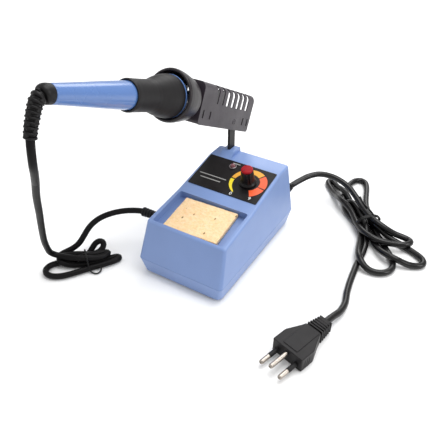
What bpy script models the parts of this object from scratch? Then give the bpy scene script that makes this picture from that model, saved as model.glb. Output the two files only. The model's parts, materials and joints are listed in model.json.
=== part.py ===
"""A soldering iron station: a two-part housing with a sponge tray and a dial, a slotted
holder on a strip post, the iron that rests in it, and both cords.

Lengths are in millimetres in the station's own axes and become metres when a mesh is made.
Station axes: X to the right, Y from the front edge to the back, Z up from the bench.
The whole model is then moved so that its base is centred on the origin.
"""
import math

import bmesh
import bpy
from mathutils import Matrix, Vector

# --- driving dimensions, millimetres -------------------------------------------------
MM = 0.001
FRAME_SHIFT = Vector((9.615, -39.022, 0.0))
GAP = 0.3

HALF_WIDTH = 43.7
DEPTH = 143.9
BELT_Z = 17.2
SIDE_DRAFT = 0.092
FRONT_DRAFT = 0.321
REAR_DRAFT = 0.149
WALL = 2.2
CORNER_RADIUS = 3.3
TOP_RADIUS = 1.8
RIM_Y = 11.5
RIM_Z = 52.9
RIM_SLOPE = 0.123
BREAK_Y = 61.0
PANEL_SLOPE = 0.215
PANEL_END_Y = 116.0
BASE_Z = 1.6
BASE_HALF_WIDTH = 41.3
BASE_FRONT_Y = 2.2
BASE_REAR_Y = 141.8
BASE_RADIUS = 5.5

TRAY_X = 36.0
TRAY_FRONT_Y = 14.0
TRAY_REAR_Y = 59.2
TRAY_DEPTH = 7.0
SPONGE_SIZE = (53.5, 41.0, 4.4)
SPONGE_CENTRE_Y = 36.6
SPONGE_TURN = math.radians(2.2)

LABEL_X = 36.4
LABEL_FRONT_Y = 71.6
LABEL_REAR_Y = 114.2
LABEL_THICKNESS = 0.5
DIAL = (17.0, 93.0)
LAMP = (-7.1, 106.6)

POST_X = (-23.6, -21.3)
POST_Y = (124.0, 134.6)
POST_FOOT_Z = 59.5
PIVOT = (129.3, 104.0)
POST_TOP_Z = PIVOT[1] + 5.3
SOCKET_TOP_Z = 75.4
SOCKET_X = (-28.5, -15.2)

HOLDER_PITCH = math.radians(27.36)
HOLDER_NEAR_X = -20.1
HOLDER_WIDTH = 32.0
HOLDER_HEIGHT = 36.2
HOLDER_LENGTH = 102.8
HOLDER_MOUTH = (65.0, 128.1)
SHEET = 1.0
FOLD_RADIUS = 6.0
SLOT_COUNT = 7
SLOT_FIRST = 25.5
SLOT_PITCH = 10.4
SLOT_WIDTH = 4.6
SLOT_BOTTOM = 20.5
TAB_SLOTS = (6.0, 18.5, 86.5, 97.0)

IRON_PITCH = math.radians(20.94)
IRON_FLANGE = (47.5, 156.6)
IRON_X = HOLDER_NEAR_X - HOLDER_WIDTH / 2

MAINS_GLAND = (31.0, 28.0)
IRON_GLAND = (36.0, 39.0)
MAINS_DIAMETER = 6.2
IRON_CORD_DIAMETER = 5.6

PLUG_ROOT = (116.6, -23.4)
PLUG_DIRECTION = (0.285, 0.9585)

FOOT_PLACES = ((-30.0, 16.0), (30.0, 16.0), (-30.0, 128.0), (30.0, 128.0))
SCREW_PLACES = ((-33.0, 27.0), (33.0, 27.0), (-33.0, 114.0), (33.0, 114.0))

MAINS_LEAD_ROUTE = (
    (31.0, 163.6, 28.0), (32.0, 167.0, 28.3), (36.5, 176.0, 30.5), (43.0, 186.0, 33.0),
    (52.0, 195.0, 33.5), (66.0, 201.0, 30.5), (82.0, 199.5, 26.0), (96.0, 191.5, 21.7),
)
MAINS_TAIL_ROUTE = (
    (127.9, 105.2, 3.4), (128.4, 96.0, 3.4), (129.5, 86.0, 3.4), (132.0, 70.0, 3.4),
    (135.4, 55.0, 3.8), (136.2, 43.0, 4.8), (134.0, 33.0, 6.2), (130.6, 23.4, 7.0),
)
IRON_DROP_UPPER = (
    (-36.1, -91.6, 179.8), (-36.3, -92.6, 173.0), (-38.5, -92.0, 163.0), (-45.0, -87.6, 152.0),
    (-54.0, -81.6, 139.0),
)
IRON_DROP_LOWER = (
    (-54.3, -81.3, 138.5), (-65.0, -75.4, 120.0), (-79.5, -65.8, 93.5), (-93.0, -57.2, 68.0),
    (-105.0, -49.0, 44.0), (-113.0, -42.0, 27.5), (-116.3, -38.0, 19.0),
)
IRON_LEAD_ROUTE = (
    (-64.1, 34.6, 39.4), (-76.0, 29.5, 39.0), (-87.0, 21.5, 37.0), (-95.0, 11.0, 33.5),
    (-99.5, 0.5, 28.0), (-103.0, -8.5, 20.6),
)
IRON_HANK_OUTLINE = (
    (-121.0, -41.0), (-120.5, -48.0), (-114.5, -54.0), (-104.5, -53.5), (-96.0, -48.5), (-89.0, -38.0),
    (-82.0, -27.0), (-76.0, -17.0), (-69.0, -6.0), (-65.0, 3.0), (-70.0, 8.5), (-77.0, 6.0),
    (-84.0, 5.5), (-91.0, 6.5), (-98.0, 2.0), (-99.0, -6.0), (-106.0, -10.0), (-112.0, -19.0),
    (-121.0, -27.5), (-120.0, -35.0),
)
MAINS_HANK_OUTLINE = (
    (45.0, 231.0), (53.0, 221.0), (64.0, 208.0), (76.0, 196.0), (86.0, 184.0), (97.0, 173.0),
    (108.0, 160.0), (114.0, 143.0), (118.0, 123.0), (124.0, 110.0), (133.0, 104.5), (145.0, 104.0),
    (155.0, 107.5), (161.5, 117.0), (163.0, 127.0), (172.0, 131.0), (183.0, 136.0), (186.5, 146.0),
    (179.0, 156.0), (168.0, 162.0), (166.0, 170.0), (156.0, 172.5), (140.0, 173.0), (126.0, 182.0),
    (115.0, 197.0), (107.0, 213.0), (101.0, 229.0), (96.0, 245.0), (89.0, 258.0), (77.0, 258.0),
    (70.5, 245.0), (70.0, 228.0), (60.0, 236.0), (51.0, 241.5),
)

COLLECTION = "Soldering_Iron_Station"
CUTTERS = "Cutters"


# --- scene and mesh helpers ----------------------------------------------------------
def clear_scene():
    for thing in list(bpy.data.objects):
        bpy.data.objects.remove(thing, do_unlink=True)
    for group in list(bpy.data.collections):
        bpy.data.collections.remove(group)


def collection(name):
    group = bpy.data.collections.get(name)
    if group is None:
        group = bpy.data.collections.new(name)
        bpy.context.scene.collection.children.link(group)
    return group


def material(name, colour, roughness, metallic=0.0):
    made = bpy.data.materials.get(name)
    if made is None:
        made = bpy.data.materials.new(name)
        made.use_nodes = True
        shader = made.node_tree.nodes["Principled BSDF"]
        shader.inputs["Base Color"].default_value = (*colour, 1.0)
        shader.inputs["Roughness"].default_value = roughness
        shader.inputs["Metallic"].default_value = metallic
        made.diffuse_color = (*colour, 1.0)
    return made


BLUE = (0.22, 0.36, 0.74)
BLACK = (0.025, 0.025, 0.028)
STEEL = (0.62, 0.62, 0.64)
BRASS = (0.78, 0.62, 0.35)


def finish(name, bm, look, origin=(0, 0, 0), smooth=False):
    """Makes the object of a bmesh drawn in millimetres, with its origin at a given point."""
    bmesh.ops.remove_doubles(bm, verts=bm.verts, dist=0.0005)
    bmesh.ops.recalc_face_normals(bm, faces=bm.faces)
    bmesh.ops.translate(bm, verts=bm.verts, vec=-Vector(origin))
    bmesh.ops.scale(bm, verts=bm.verts, vec=(MM, MM, MM))
    mesh = bpy.data.meshes.new(name)
    bm.to_mesh(mesh)
    bm.free()
    made = bpy.data.objects.new(name, mesh)
    made.location = (Vector(origin) + FRAME_SHIFT) * MM
    for face in mesh.polygons:
        face.use_smooth = smooth
    if look is None:
        made.hide_render = True
        made.display_type = "WIRE"
        collection(CUTTERS).objects.link(made)
    else:
        mesh.materials.append(material(name + "_finish", *look))
        collection(COLLECTION).objects.link(made)
    return made


def combine(target, other, operation="DIFFERENCE"):
    step = target.modifiers.new(other.name, "BOOLEAN")
    step.operation = operation
    step.solver = "EXACT"
    step.object = other
    return step


def cut(target, *cutters):
    for one in cutters:
        combine(target, one)


def add(target, name, bm):
    combine(target, finish(name, bm, None), "UNION")


def drill(target, name, frame, radius, heights, steps=16):
    """Cuts a round hole about the frame's Z, from one height to the other."""
    low, high = heights
    shape = ((0, low), (radius, low), (radius, high), (0, high))
    cut(target, finish(name, turned(shape, frame, steps), None))


def weld(target):
    step = target.modifiers.new("Weld", "WELD")
    step.merge_threshold = 0.00003


def box_mesh(low, high, turn=None):
    bm = bmesh.new()
    bmesh.ops.create_cube(bm, size=1.0)
    low, high = Vector(low), Vector(high)
    bmesh.ops.scale(bm, verts=bm.verts, vec=high - low)
    bmesh.ops.translate(bm, verts=bm.verts, vec=(low + high) / 2)
    if turn is not None:
        bmesh.ops.transform(bm, matrix=turn, verts=bm.verts)
    return bm


def bevel_edges(bm, width, segments, wanted):
    edges = [e for e in bm.edges if wanted(e)]
    bmesh.ops.bevel(
        bm, geom=edges, offset=width, segments=segments, profile=0.5, affect="EDGES",
        clamp_overlap=True,
    )


def direction(edge):
    a, b = edge.verts
    return (b.co - a.co).normalized()


def outline_prism(points, low, high, turn=None):
    """A closed outline in X and Y, extruded from low to high in Z."""
    bm = bmesh.new()
    ring = [bm.verts.new((x, y, low)) for x, y in points]
    face = bm.faces.new(ring)
    moved = bmesh.ops.extrude_face_region(bm, geom=[face])
    lifted = [v for v in moved["geom"] if isinstance(v, bmesh.types.BMVert)]
    bmesh.ops.translate(bm, verts=lifted, vec=(0, 0, high - low))
    if turn is not None:
        bmesh.ops.transform(bm, matrix=turn, verts=bm.verts)
    return bm


def turned(profile, frame, steps=32):
    """Turns a closed or axis-to-axis outline of (radius, height) pairs about the frame's Z."""
    bm = bmesh.new()
    points = [bm.verts.new((r, 0.0, h)) for r, h in profile]
    pairs = list(zip(points, points[1:]))
    if profile[0][0] > 0.001:
        pairs.append((points[-1], points[0]))
    edges = [bm.edges.new(p) for p in pairs]
    bmesh.ops.spin(
        bm, geom=points + edges, cent=(0, 0, 0), axis=(0, 0, 1), angle=2 * math.pi, steps=steps,
        use_merge=True,
    )
    bmesh.ops.remove_doubles(bm, verts=bm.verts, dist=0.0005)
    bmesh.ops.transform(bm, matrix=frame, verts=bm.verts)
    return bm


def hex_nut(name, frame, heights, radii, origin):
    low, high = heights
    across, bore = radii
    body = finish(
        name, turned(((0, low), (across, low), (across, high), (0, high)), frame, 6),
        (STEEL, 0.35, 1.0), origin,
    )
    hole = ((0, low - 1), (bore, low - 1), (bore, high + 1), (0, high + 1))
    cut(body, finish("cut_" + name, turned(hole, frame, 16), None))
    return body


def frame_at(point, z_axis, x_axis=(1, 0, 0)):
    """A frame at a point with a given Z direction, its X as near as can be to x_axis."""
    z = Vector(z_axis).normalized()
    y = z.cross(Vector(x_axis)).normalized()
    x = y.cross(z)
    turn = Matrix((x, y, z)).transposed().to_4x4()
    return Matrix.Translation(Vector(point)) @ turn


def rounded_rectangle(x0, x1, y0, y1, radius, segments=5):
    """The corner points of a rectangle with round corners, anticlockwise."""
    out = []
    corners = ((x1, y1, 0), (x0, y1, 90), (x0, y0, 180), (x1, y0, 270))
    for x, y, start in corners:
        cx = x - math.copysign(radius, x - (x0 + x1) / 2)
        cy = y - math.copysign(radius, y - (y0 + y1) / 2)
        for i in range(segments + 1):
            a = math.radians(start + 90 * i / segments)
            out.append((cx + radius * math.cos(a), cy + radius * math.sin(a)))
    return out


def smooth_route(points, spacing):
    """Evenly spaced points on a Catmull-Rom curve through the route points."""
    pts = [Vector(p) for p in points]
    pts = [2 * pts[0] - pts[1]] + pts + [2 * pts[-1] - pts[-2]]
    dense = []
    for i in range(1, len(pts) - 2):
        a, b, c, d = pts[i - 1], pts[i], pts[i + 1], pts[i + 2]
        for j in range(24):
            t = j / 24
            dense.append(
                0.5 * ((2 * b) + (c - a) * t + (2 * a - 5 * b + 4 * c - d) * t * t
                       + (3 * b - a - 3 * c + d) * t * t * t)
            )
    dense.append(pts[-2])
    length = sum((b - a).length for a, b in zip(dense, dense[1:]))
    count = max(2, round(length / spacing))
    out, walked, k = [dense[0]], 0.0, 1
    for a, b in zip(dense, dense[1:]):
        step = (b - a).length
        while k < count and walked + step >= length * k / count:
            out.append(a.lerp(b, (length * k / count - walked) / step))
            k += 1
        walked += step
    out.append(dense[-1])
    return out


def smooth_outline(points, segments=2):
    """A closed smooth outline through a few points in X and Y."""
    n = len(points)
    out = []
    for i in range(n):
        a, b, c, d = (Vector(points[(i + k) % n]) for k in (-1, 0, 1, 2))
        for j in range(segments):
            t = j / segments
            p = 0.5 * ((2 * b) + (c - a) * t + (2 * a - 5 * b + 4 * c - d) * t * t
                       + (3 * b - a - 3 * c + d) * t * t * t)
            out.append((p.x, p.y))
    return out


def tube(name, points, radii, look, resolution=2, origin=(0, 0, 0)):
    """A closed round bar along a line of points, one radius for all or one for each."""
    radii = [radii] * len(points) if isinstance(radii, (int, float)) else radii
    curve = bpy.data.curves.new(name, "CURVE")
    curve.dimensions = "3D"
    curve.bevel_depth = 1.0
    curve.bevel_resolution = resolution
    curve.use_fill_caps = True
    spline = curve.splines.new("POLY")
    spline.points.add(len(points) - 1)
    for knot, point, radius in zip(spline.points, points, radii):
        knot.co = (*point, 1.0)
        knot.radius = radius
    holder = bpy.data.objects.new(name + "_curve", curve)
    bpy.context.scene.collection.objects.link(holder)
    graph = bpy.context.evaluated_depsgraph_get()
    mesh = bpy.data.meshes.new_from_object(holder.evaluated_get(graph))
    bm = bmesh.new()
    bm.from_mesh(mesh)
    bpy.data.objects.remove(holder)
    bpy.data.meshes.remove(mesh)
    return finish(name, bm, look, origin, smooth=True)


# --- housing -------------------------------------------------------------------------
def half_width(z):
    return HALF_WIDTH - SIDE_DRAFT * (z - BELT_Z)


def front_y(z):
    return FRONT_DRAFT * (z - BELT_Z)


def rear_y(z):
    return DEPTH - REAR_DRAFT * (z - BELT_Z)


def rim_z(y):
    return RIM_Z + RIM_SLOPE * (y - RIM_Y)


def panel_z(y):
    return rim_z(BREAK_Y) + PANEL_SLOPE * (y - BREAK_Y)


def panel_frame(x, y):
    """On the panel's face, Z out of it and X along the station's X."""
    return frame_at((x, y, panel_z(y)), (0.0, -PANEL_SLOPE, 1.0))


def shell_mesh(inset, bottom, corner):
    """The upper shell's outer form, or its cavity when inset is the wall's thickness."""
    top_end = panel_z(PANEL_END_Y)
    profile = [
        (front_y(bottom) + inset, bottom),
        (RIM_Y + inset * 0.8, RIM_Z - inset),
        (BREAK_Y, rim_z(BREAK_Y) - inset),
        (PANEL_END_Y, top_end - inset),
        (rear_y(top_end) - inset, top_end - inset),
        (rear_y(bottom) - inset, bottom),
    ]
    bm = bmesh.new()
    sides = []
    for sign in (-1, 1):
        sides.append([bm.verts.new((sign * (half_width(z) - inset), y, z)) for y, z in profile])
    bm.faces.new(sides[0])
    bm.faces.new(sides[1][::-1])
    count = len(profile)
    for i in range(count):
        j = (i + 1) % count
        bm.faces.new((sides[0][i], sides[1][i], sides[1][j], sides[0][j]))
    bmesh.ops.recalc_face_normals(bm, faces=bm.faces)
    upright = [e for e in bm.edges if abs(direction(e).z) > 0.8]
    bmesh.ops.bevel(bm, geom=upright, offset=corner, segments=4, profile=0.5, affect="EDGES")
    if inset == 0.0:
        bmesh.ops.recalc_face_normals(bm, faces=bm.faces)
        bevel_edges(bm, TOP_RADIUS, 2, is_top_edge)
    return bm


def is_top_edge(edge):
    ups = sorted(f.normal.z for f in edge.link_faces)
    return len(ups) == 2 and ups[1] > 0.9 and -0.2 < ups[0] < 0.8


def tray_frame():
    """On the rim's plane in the middle of the tray, Z out of it."""
    y = (TRAY_FRONT_Y + TRAY_REAR_Y) / 2
    return frame_at((0, y, rim_z(y)), (0.0, -RIM_SLOPE, 1.0))


def tray_box(extra, low, high, radius):
    half_y = (TRAY_REAR_Y - TRAY_FRONT_Y) / 2 + extra
    x = TRAY_X + extra
    ring = rounded_rectangle(-x, x, -half_y, half_y, radius, 3)
    return outline_prism(ring, low, high, tray_frame())


def upper_housing():
    look = (BLUE, 0.42)
    floor_z = BELT_Z + GAP / 2
    body = finish("upper_housing", shell_mesh(0.0, floor_z, CORNER_RADIUS), look)
    cut(body, finish("cut_shell", shell_mesh(WALL, floor_z - 1.0, 3.0), None))
    add(body, "add_tray", tray_box(WALL, -TRAY_DEPTH - WALL, -0.6, 3.0))
    for i, (x, y) in enumerate(SCREW_PLACES):
        top = (rim_z(y) - 9.0) if y < BREAK_Y else panel_z(y) - 1.0
        pillar = turned(((0, floor_z), (3.8, floor_z), (3.8, top), (0, top)), pillar_frame(x, y), 16)
        add(body, f"add_pillar_{i}", pillar)
    add(body, "add_socket", socket_mesh())
    add(body, "add_socket_root", box_mesh((-27.6, 121.5, 57.0), (-16.6, 135.2, 71.5)))
    cut(body, finish("cut_tray", tray_box(0.0, -TRAY_DEPTH, 4.0, 2.5), None))
    for i, (x, y) in enumerate(SCREW_PLACES):
        drill(body, f"cut_pillar_{i}", pillar_frame(x, y), 1.7, (10.0, 27.0), 12)
    slot_low = (POST_X[0] - GAP, POST_Y[0] - GAP, POST_FOOT_Z - GAP)
    slot_high = (POST_X[1] + GAP, POST_Y[1] + GAP, 90.0)
    cut(body, finish("cut_post_slot", box_mesh(slot_low, slot_high), None))
    drill(body, "cut_post_screw", post_screw_frame(), 1.6, (3.5, 16.0), 12)
    drill(body, "cut_dial_hole", panel_frame(*DIAL), 4.5, (-9.0, 6.0), 24)
    drill(body, "cut_lamp_hole", panel_frame(*LAMP), 2.8, (-9.0, 6.0), 16)
    drill(body, "cut_mains_hole", mains_frame(), 4.4, (-8.0, 8.0), 16)
    drill(body, "cut_iron_hole", gland_frame(), 3.9, (-8.0, 8.0), 16)
    weld(body)


def pillar_frame(x, y):
    return Matrix.Translation((x, y, 0.0))


def post_screw_frame():
    """On the axis of the screw that holds the post in its socket, Z along X."""
    return frame_at((-30.0, (POST_Y[0] + POST_Y[1]) / 2, 65.5), (1, 0, 0), (0, 1, 0))


def socket_mesh():
    """The wedge-shaped socket at the left rear of the top, with its round front edges."""
    low = panel_z(PANEL_END_Y) - 1.5
    profile = [
        (114.8, low), (122.6, SOCKET_TOP_Z), (rear_y(SOCKET_TOP_Z), SOCKET_TOP_Z),
        (rear_y(low), low),
    ]
    bm = bmesh.new()
    left = [bm.verts.new((SOCKET_X[0], y, z)) for y, z in profile]
    right = [bm.verts.new((SOCKET_X[1], y, z)) for y, z in profile]
    bm.faces.new(left)
    bm.faces.new(right[::-1])
    for i in range(4):
        j = (i + 1) % 4
        bm.faces.new((left[i], right[i], right[j], left[j]))
    bmesh.ops.recalc_face_normals(bm, faces=bm.faces)
    bevel_edges(bm, 1.2, 2, lambda e: min(v.co.z for v in e.verts) > low + 1.0)
    return bm


def loop_at(bm, ring, z):
    return [bm.verts.new((x, y, z)) for x, y in ring]


def bridge(bm, lower, upper):
    count = len(lower)
    for i in range(count):
        j = (i + 1) % count
        bm.faces.new((lower[i], lower[j], upper[j], upper[i]))


def lower_housing():
    top = BELT_Z - GAP / 2
    x, y0, y1, r = BASE_HALF_WIDTH, BASE_FRONT_Y, BASE_REAR_Y, BASE_RADIUS
    base = rounded_rectangle(-x, x, y0, y1, r)
    belt = rounded_rectangle(-HALF_WIDTH, HALF_WIDTH, 0.0, DEPTH, CORNER_RADIUS)
    inner_belt = rounded_rectangle(
        WALL - HALF_WIDTH, HALF_WIDTH - WALL, WALL, DEPTH - WALL, CORNER_RADIUS - WALL
    )
    inner_base = rounded_rectangle(WALL - x, x - WALL, y0 + WALL, y1 - WALL, r - WALL)
    soft = rounded_rectangle(1.0 - x, x - 1.0, y0 + 1.0, y1 - 1.0, r - 1.0)
    bm = bmesh.new()
    loops = [
        loop_at(bm, soft, BASE_Z), loop_at(bm, base, BASE_Z + 1.0), loop_at(bm, belt, top),
        loop_at(bm, inner_belt, top), loop_at(bm, inner_base, BASE_Z + WALL),
    ]
    for lower, upper in zip(loops, loops[1:]):
        bridge(bm, lower, upper)
    bm.faces.new(loops[0])
    bm.faces.new(loops[-1])
    body = finish("lower_housing", bm, (BLUE, 0.42))
    for i, (px, py) in enumerate(SCREW_PLACES):
        post = turned(((0, 2.6), (4.6, 2.6), (4.6, top), (0, top)), pillar_frame(px, py), 16)
        add(body, f"add_boss_{i}", post)
        bore = ((0, 0.0), (3.1, 0.0), (3.1, 4.4), (1.7, 4.4), (1.7, 20.0), (0, 20.0))
        cut(body, finish(f"cut_boss_{i}", turned(bore, pillar_frame(px, py), 16), None))
    weld(body)


def housing_screws():
    shape = ((0, 2.1), (2.8, 2.1), (2.8, 4.1), (1.4, 4.1), (1.4, 24.0), (0, 24.6))
    for i, (x, y) in enumerate(SCREW_PLACES):
        bm = turned(shape, pillar_frame(x, y), 10)
        finish(f"housing_screw_{i + 1}", bm, (STEEL, 0.35, 1.0), (x, y, 2.1))


def feet():
    shape = ((0, 0), (5.2, 0), (5.8, 0.5), (5.6, 1.3), (0, 1.3))
    for i, (x, y) in enumerate(FOOT_PLACES):
        finish(f"foot_{i + 1}", turned(shape, pillar_frame(x, y), 24), (BLACK, 0.85), (x, y, 0))


def panel_label():
    ring = rounded_rectangle(-LABEL_X, LABEL_X, 0, label_length(), 1.0, 2)
    frame = panel_frame(0, LABEL_FRONT_Y)
    body = finish("panel_label", outline_prism(ring, 0.1, 0.1 + LABEL_THICKNESS, frame), (BLACK, 0.35))
    drill(body, "cut_label_dial", panel_frame(*DIAL), 4.5, (-1.0, 6.0), 24)
    drill(body, "cut_label_lamp", panel_frame(*LAMP), 2.8, (-1.0, 6.0), 16)


def label_length():
    return (LABEL_REAR_Y - LABEL_FRONT_Y) * math.hypot(1.0, PANEL_SLOPE)


# --- controls and electronics --------------------------------------------------------
def knob_origin():
    return (DIAL[0], DIAL[1], panel_z(DIAL[1]))


def knob():
    frame = panel_frame(*DIAL)
    shape = (
        (3.3, 4.6), (6.4, 4.6), (6.4, 1.2), (8.1, 1.2), (8.1, 2.6), (6.9, 3.8), (6.4, 5.0),
        (5.8, 15.6), (5.2, 16.0), (3.3, 16.0),
    )
    body = finish("knob", turned(shape, frame, 36), (BLACK, 0.5), knob_origin())
    bm = bmesh.new()
    for i in range(12):
        a = 2 * math.pi * (i + 0.5) / 12
        centre = Matrix.Translation((6.35 * math.cos(a), 6.35 * math.sin(a), 11.0))
        bmesh.ops.create_cone(
            bm, cap_ends=True, segments=6, radius1=0.75, radius2=0.95, depth=12.4,
            matrix=frame @ centre,
        )
    cut(body, finish("cut_flutes", bm, None, knob_origin()))
    cap = ((0, 16.3), (5.5, 16.3), (5.5, 17.7), (4.9, 18.4), (0, 18.6))
    finish("knob_cap", turned(cap, frame, 32), ((0.62, 0.02, 0.04), 0.35), knob_origin())


def control():
    frame = panel_frame(*DIAL)
    shaft = ((0, -8.5), (3.0, -8.5), (3.0, 15.9), (0, 15.9))
    finish("control_shaft", turned(shaft, frame, 20), (STEEL, 0.35, 1.0), knob_origin())
    pot = (
        (0, -11.0), (8.0, -11.0), (8.0, -2.9), (4.2, -2.9), (4.2, 4.2), (3.3, 4.2), (3.3, -8.8),
        (0, -8.8),
    )
    finish("potentiometer", turned(pot, frame, 24), (STEEL, 0.4, 1.0), knob_origin())
    hex_nut("control_nut", frame, (0.9, 2.9), (5.8, 4.5), knob_origin())


def lamp():
    frame = panel_frame(*LAMP)
    origin = (LAMP[0], LAMP[1], panel_z(LAMP[1]))
    lens = ((0, -6.0), (2.45, -6.0), (2.45, 1.6), (2.0, 3.0), (1.1, 3.9), (0, 4.2))
    finish("lamp", turned(lens, frame, 20), ((0.75, 0.35, 0.38), 0.15), origin)
    bezel = ((2.8, 0.9), (3.6, 0.9), (3.6, 1.4), (3.3, 1.7), (2.8, 1.7))
    finish("lamp_bezel", turned(bezel, frame, 24), ((0.7, 0.7, 0.72), 0.2), origin)


def board_frame():
    return panel_frame(*DIAL)


def board_box(name, low, high, look):
    return finish(name, box_mesh(low, high, board_frame()), look)


def electronics():
    board_box("circuit_board", (-40.0, -19.0, -13.0), (12.0, 18.0, -11.4), ((0.02, 0.16, 0.07), 0.5))
    board_box("film_capacitor", (-32.0, 2.0, -25.5), (-14.0, 10.0, -13.3), ((0.55, 0.06, 0.04), 0.4))
    board_box("triac", (-8.0, 6.0, -28.0), (2.0, 10.5, -13.3), (BLACK, 0.4))
    board_box("terminal_block", (-36.0, -16.0, -24.0), (-20.0, -8.0, -13.3), ((0.03, 0.2, 0.08), 0.5))
    ring = ((4.0, -21.0), (9.0, -21.0), (9.0, -13.4), (4.0, -13.4))
    coil = board_frame() @ Matrix.Translation((-4.0, -7.0, 0))
    finish("choke_coil", turned(ring, coil, 20), ((0.55, 0.22, 0.08), 0.4, 0.6))
    fuse = board_frame() @ frame_at((-34.0, 15.4, -16.6), (1, 0, 0), (0, 1, 0))
    finish("fuse", turned(((0, 0), (2.6, 0), (2.6, 20), (0, 20)), fuse, 12), ((0.8, 0.82, 0.8), 0.15))


def ballast():
    ring = rounded_rectangle(-27.0, 27.0, 33.0, 108.0, 3.0, 2)
    z = BASE_Z + WALL + GAP
    finish("ballast_plate", outline_prism(ring, z, z + 4.5), (STEEL, 0.45, 1.0))


# --- sponge --------------------------------------------------------------------------
def sponge():
    x, y, z = SPONGE_SIZE
    forward = SPONGE_CENTRE_Y - (TRAY_FRONT_Y + TRAY_REAR_Y) / 2
    centre = tray_frame() @ Matrix.Translation((0, forward, 0)) @ Matrix.Rotation(SPONGE_TURN, 4, "Z")
    low = -TRAY_DEPTH + 0.1
    ring = rounded_rectangle(-x / 2, x / 2, -y / 2, y / 2, 2.5, 3)
    bm = outline_prism(ring, low, low + z, centre)
    finish("sponge", bm, ((0.9, 0.78, 0.5), 0.95), tuple(tray_frame().translation))


# --- post and holder -----------------------------------------------------------------
def pivot_frame():
    """On the holder's tilting axis, Z along the station's X, at the near wall's outside."""
    return frame_at((HOLDER_NEAR_X, *PIVOT), (1, 0, 0), (0, 1, 0))


def holder_post():
    y, top = PIVOT
    radius = POST_TOP_Z - top
    ring = [(POST_Y[0], POST_FOOT_Z)]
    ring.append((POST_Y[1], POST_FOOT_Z))
    for i in range(9):
        a = math.pi * i / 8
        ring.append((y + radius * math.cos(a), top + radius * math.sin(a)))
    upright = frame_at((0, 0, 0), (1, 0, 0), (0, 1, 0))
    body = finish("holder_post", outline_prism(ring, POST_X[0], POST_X[1], upright), (BLACK, 0.4, 0.6))
    drill(body, "cut_post_pivot", pivot_frame(), 1.8, (-6.0, 2.0))
    drill(body, "cut_post_fix", post_screw_frame(), 1.6, (3.0, 12.0), 12)
    screw = ((0, 4.4), (1.3, 4.4), (1.3, 13.8), (2.6, 13.8), (2.6, 15.6), (0, 15.6))
    finish("post_screw", turned(screw, post_screw_frame(), 12), (STEEL, 0.35, 1.0))


def holder_frame():
    """At the mouth's lower near corner: X along the holder, Y across it, Z up its wall."""
    along = Vector((0, math.cos(HOLDER_PITCH), -math.sin(HOLDER_PITCH)))
    up = Vector((0, math.sin(HOLDER_PITCH), math.cos(HOLDER_PITCH)))
    across = Vector((-1, 0, 0))
    turn = Matrix((along, across, up)).transposed().to_4x4()
    return Matrix.Translation((HOLDER_NEAR_X, *HOLDER_MOUTH)) @ turn


def holder_box(low, high):
    return box_mesh(low, high, holder_frame())


def folded_section(start, end, inset, bottom):
    """The holder's round-topped section, as a solid from start to end along it."""
    wide, tall = HOLDER_WIDTH - inset, HOLDER_HEIGHT - inset
    radius = FOLD_RADIUS - inset
    ring = [(inset, bottom)]
    for centre, first in ((inset + radius, 180), (wide - radius, 90)):
        for i in range(6):
            a = math.radians(first - 18 * i)
            ring.append((centre + radius * math.cos(a), tall - radius + radius * math.sin(a)))
    ring.append((wide, bottom))
    bm = bmesh.new()
    near = [bm.verts.new((start, y, z)) for y, z in ring]
    far = [bm.verts.new((end, y, z)) for y, z in ring]
    bm.faces.new(near)
    bm.faces.new(far[::-1])
    bridge(bm, near, far)
    bmesh.ops.recalc_face_normals(bm, faces=bm.faces)
    return bm


def holder_channel():
    bm = folded_section(0.0, HOLDER_LENGTH, 0.0, 0.0)
    corners = [
        e for e in bm.edges
        if abs(direction(e).y) > 0.99 and all(v.co.z < 0.01 for v in e.verts)
    ]
    bmesh.ops.bevel(bm, geom=corners, offset=3.0, segments=3, profile=0.5, affect="EDGES")
    bmesh.ops.transform(bm, matrix=holder_frame(), verts=bm.verts)
    origin = (HOLDER_NEAR_X, *PIVOT)
    body = finish("holder_channel", bm, (BLACK, 0.38, 0.4), origin)
    cavity = folded_section(SHEET, HOLDER_LENGTH + 5.0, SHEET, -5.0)
    bmesh.ops.transform(cavity, matrix=holder_frame(), verts=cavity.verts)
    cut(body, finish("cut_cavity", cavity, None))
    slots = bmesh.new()
    for i in range(SLOT_COUNT):
        t = SLOT_FIRST + SLOT_PITCH * i
        for across in ((-2.0, 11.0), (HOLDER_WIDTH - 11.0, HOLDER_WIDTH + 2.0)):
            low, high = t - SLOT_WIDTH / 2, t + SLOT_WIDTH / 2
            add_box(slots, (low, across[0], SLOT_BOTTOM), (high, across[1], 45.0))
    for t in TAB_SLOTS:
        add_box(slots, (t - 1.2, -2.0, 6.0), (t + 1.2, 2.0, 13.0))
    bmesh.ops.transform(slots, matrix=holder_frame(), verts=slots.verts)
    cut(body, finish("cut_slots", slots, None))
    drill(body, "cut_ring_hole", ring_frame(), 13.9, (-3.0, 3.0), 32)
    drill(body, "cut_wall_pivot", pivot_frame(), 2.7, (-6.0, 2.0))


def add_box(bm, low, high):
    low, high = Vector(low), Vector(high)
    place = Matrix.Translation((low + high) / 2) @ Matrix.Diagonal((*(high - low), 1.0))
    bmesh.ops.create_cube(bm, size=1.0, matrix=place)


def ring_frame():
    """At the middle of the mouth plate's outside, Z out of the mouth."""
    middle = holder_frame() @ Vector((0.0, HOLDER_WIDTH / 2, HOLDER_HEIGHT / 2))
    return frame_at(middle, (0, -math.cos(HOLDER_PITCH), math.sin(HOLDER_PITCH)))


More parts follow.
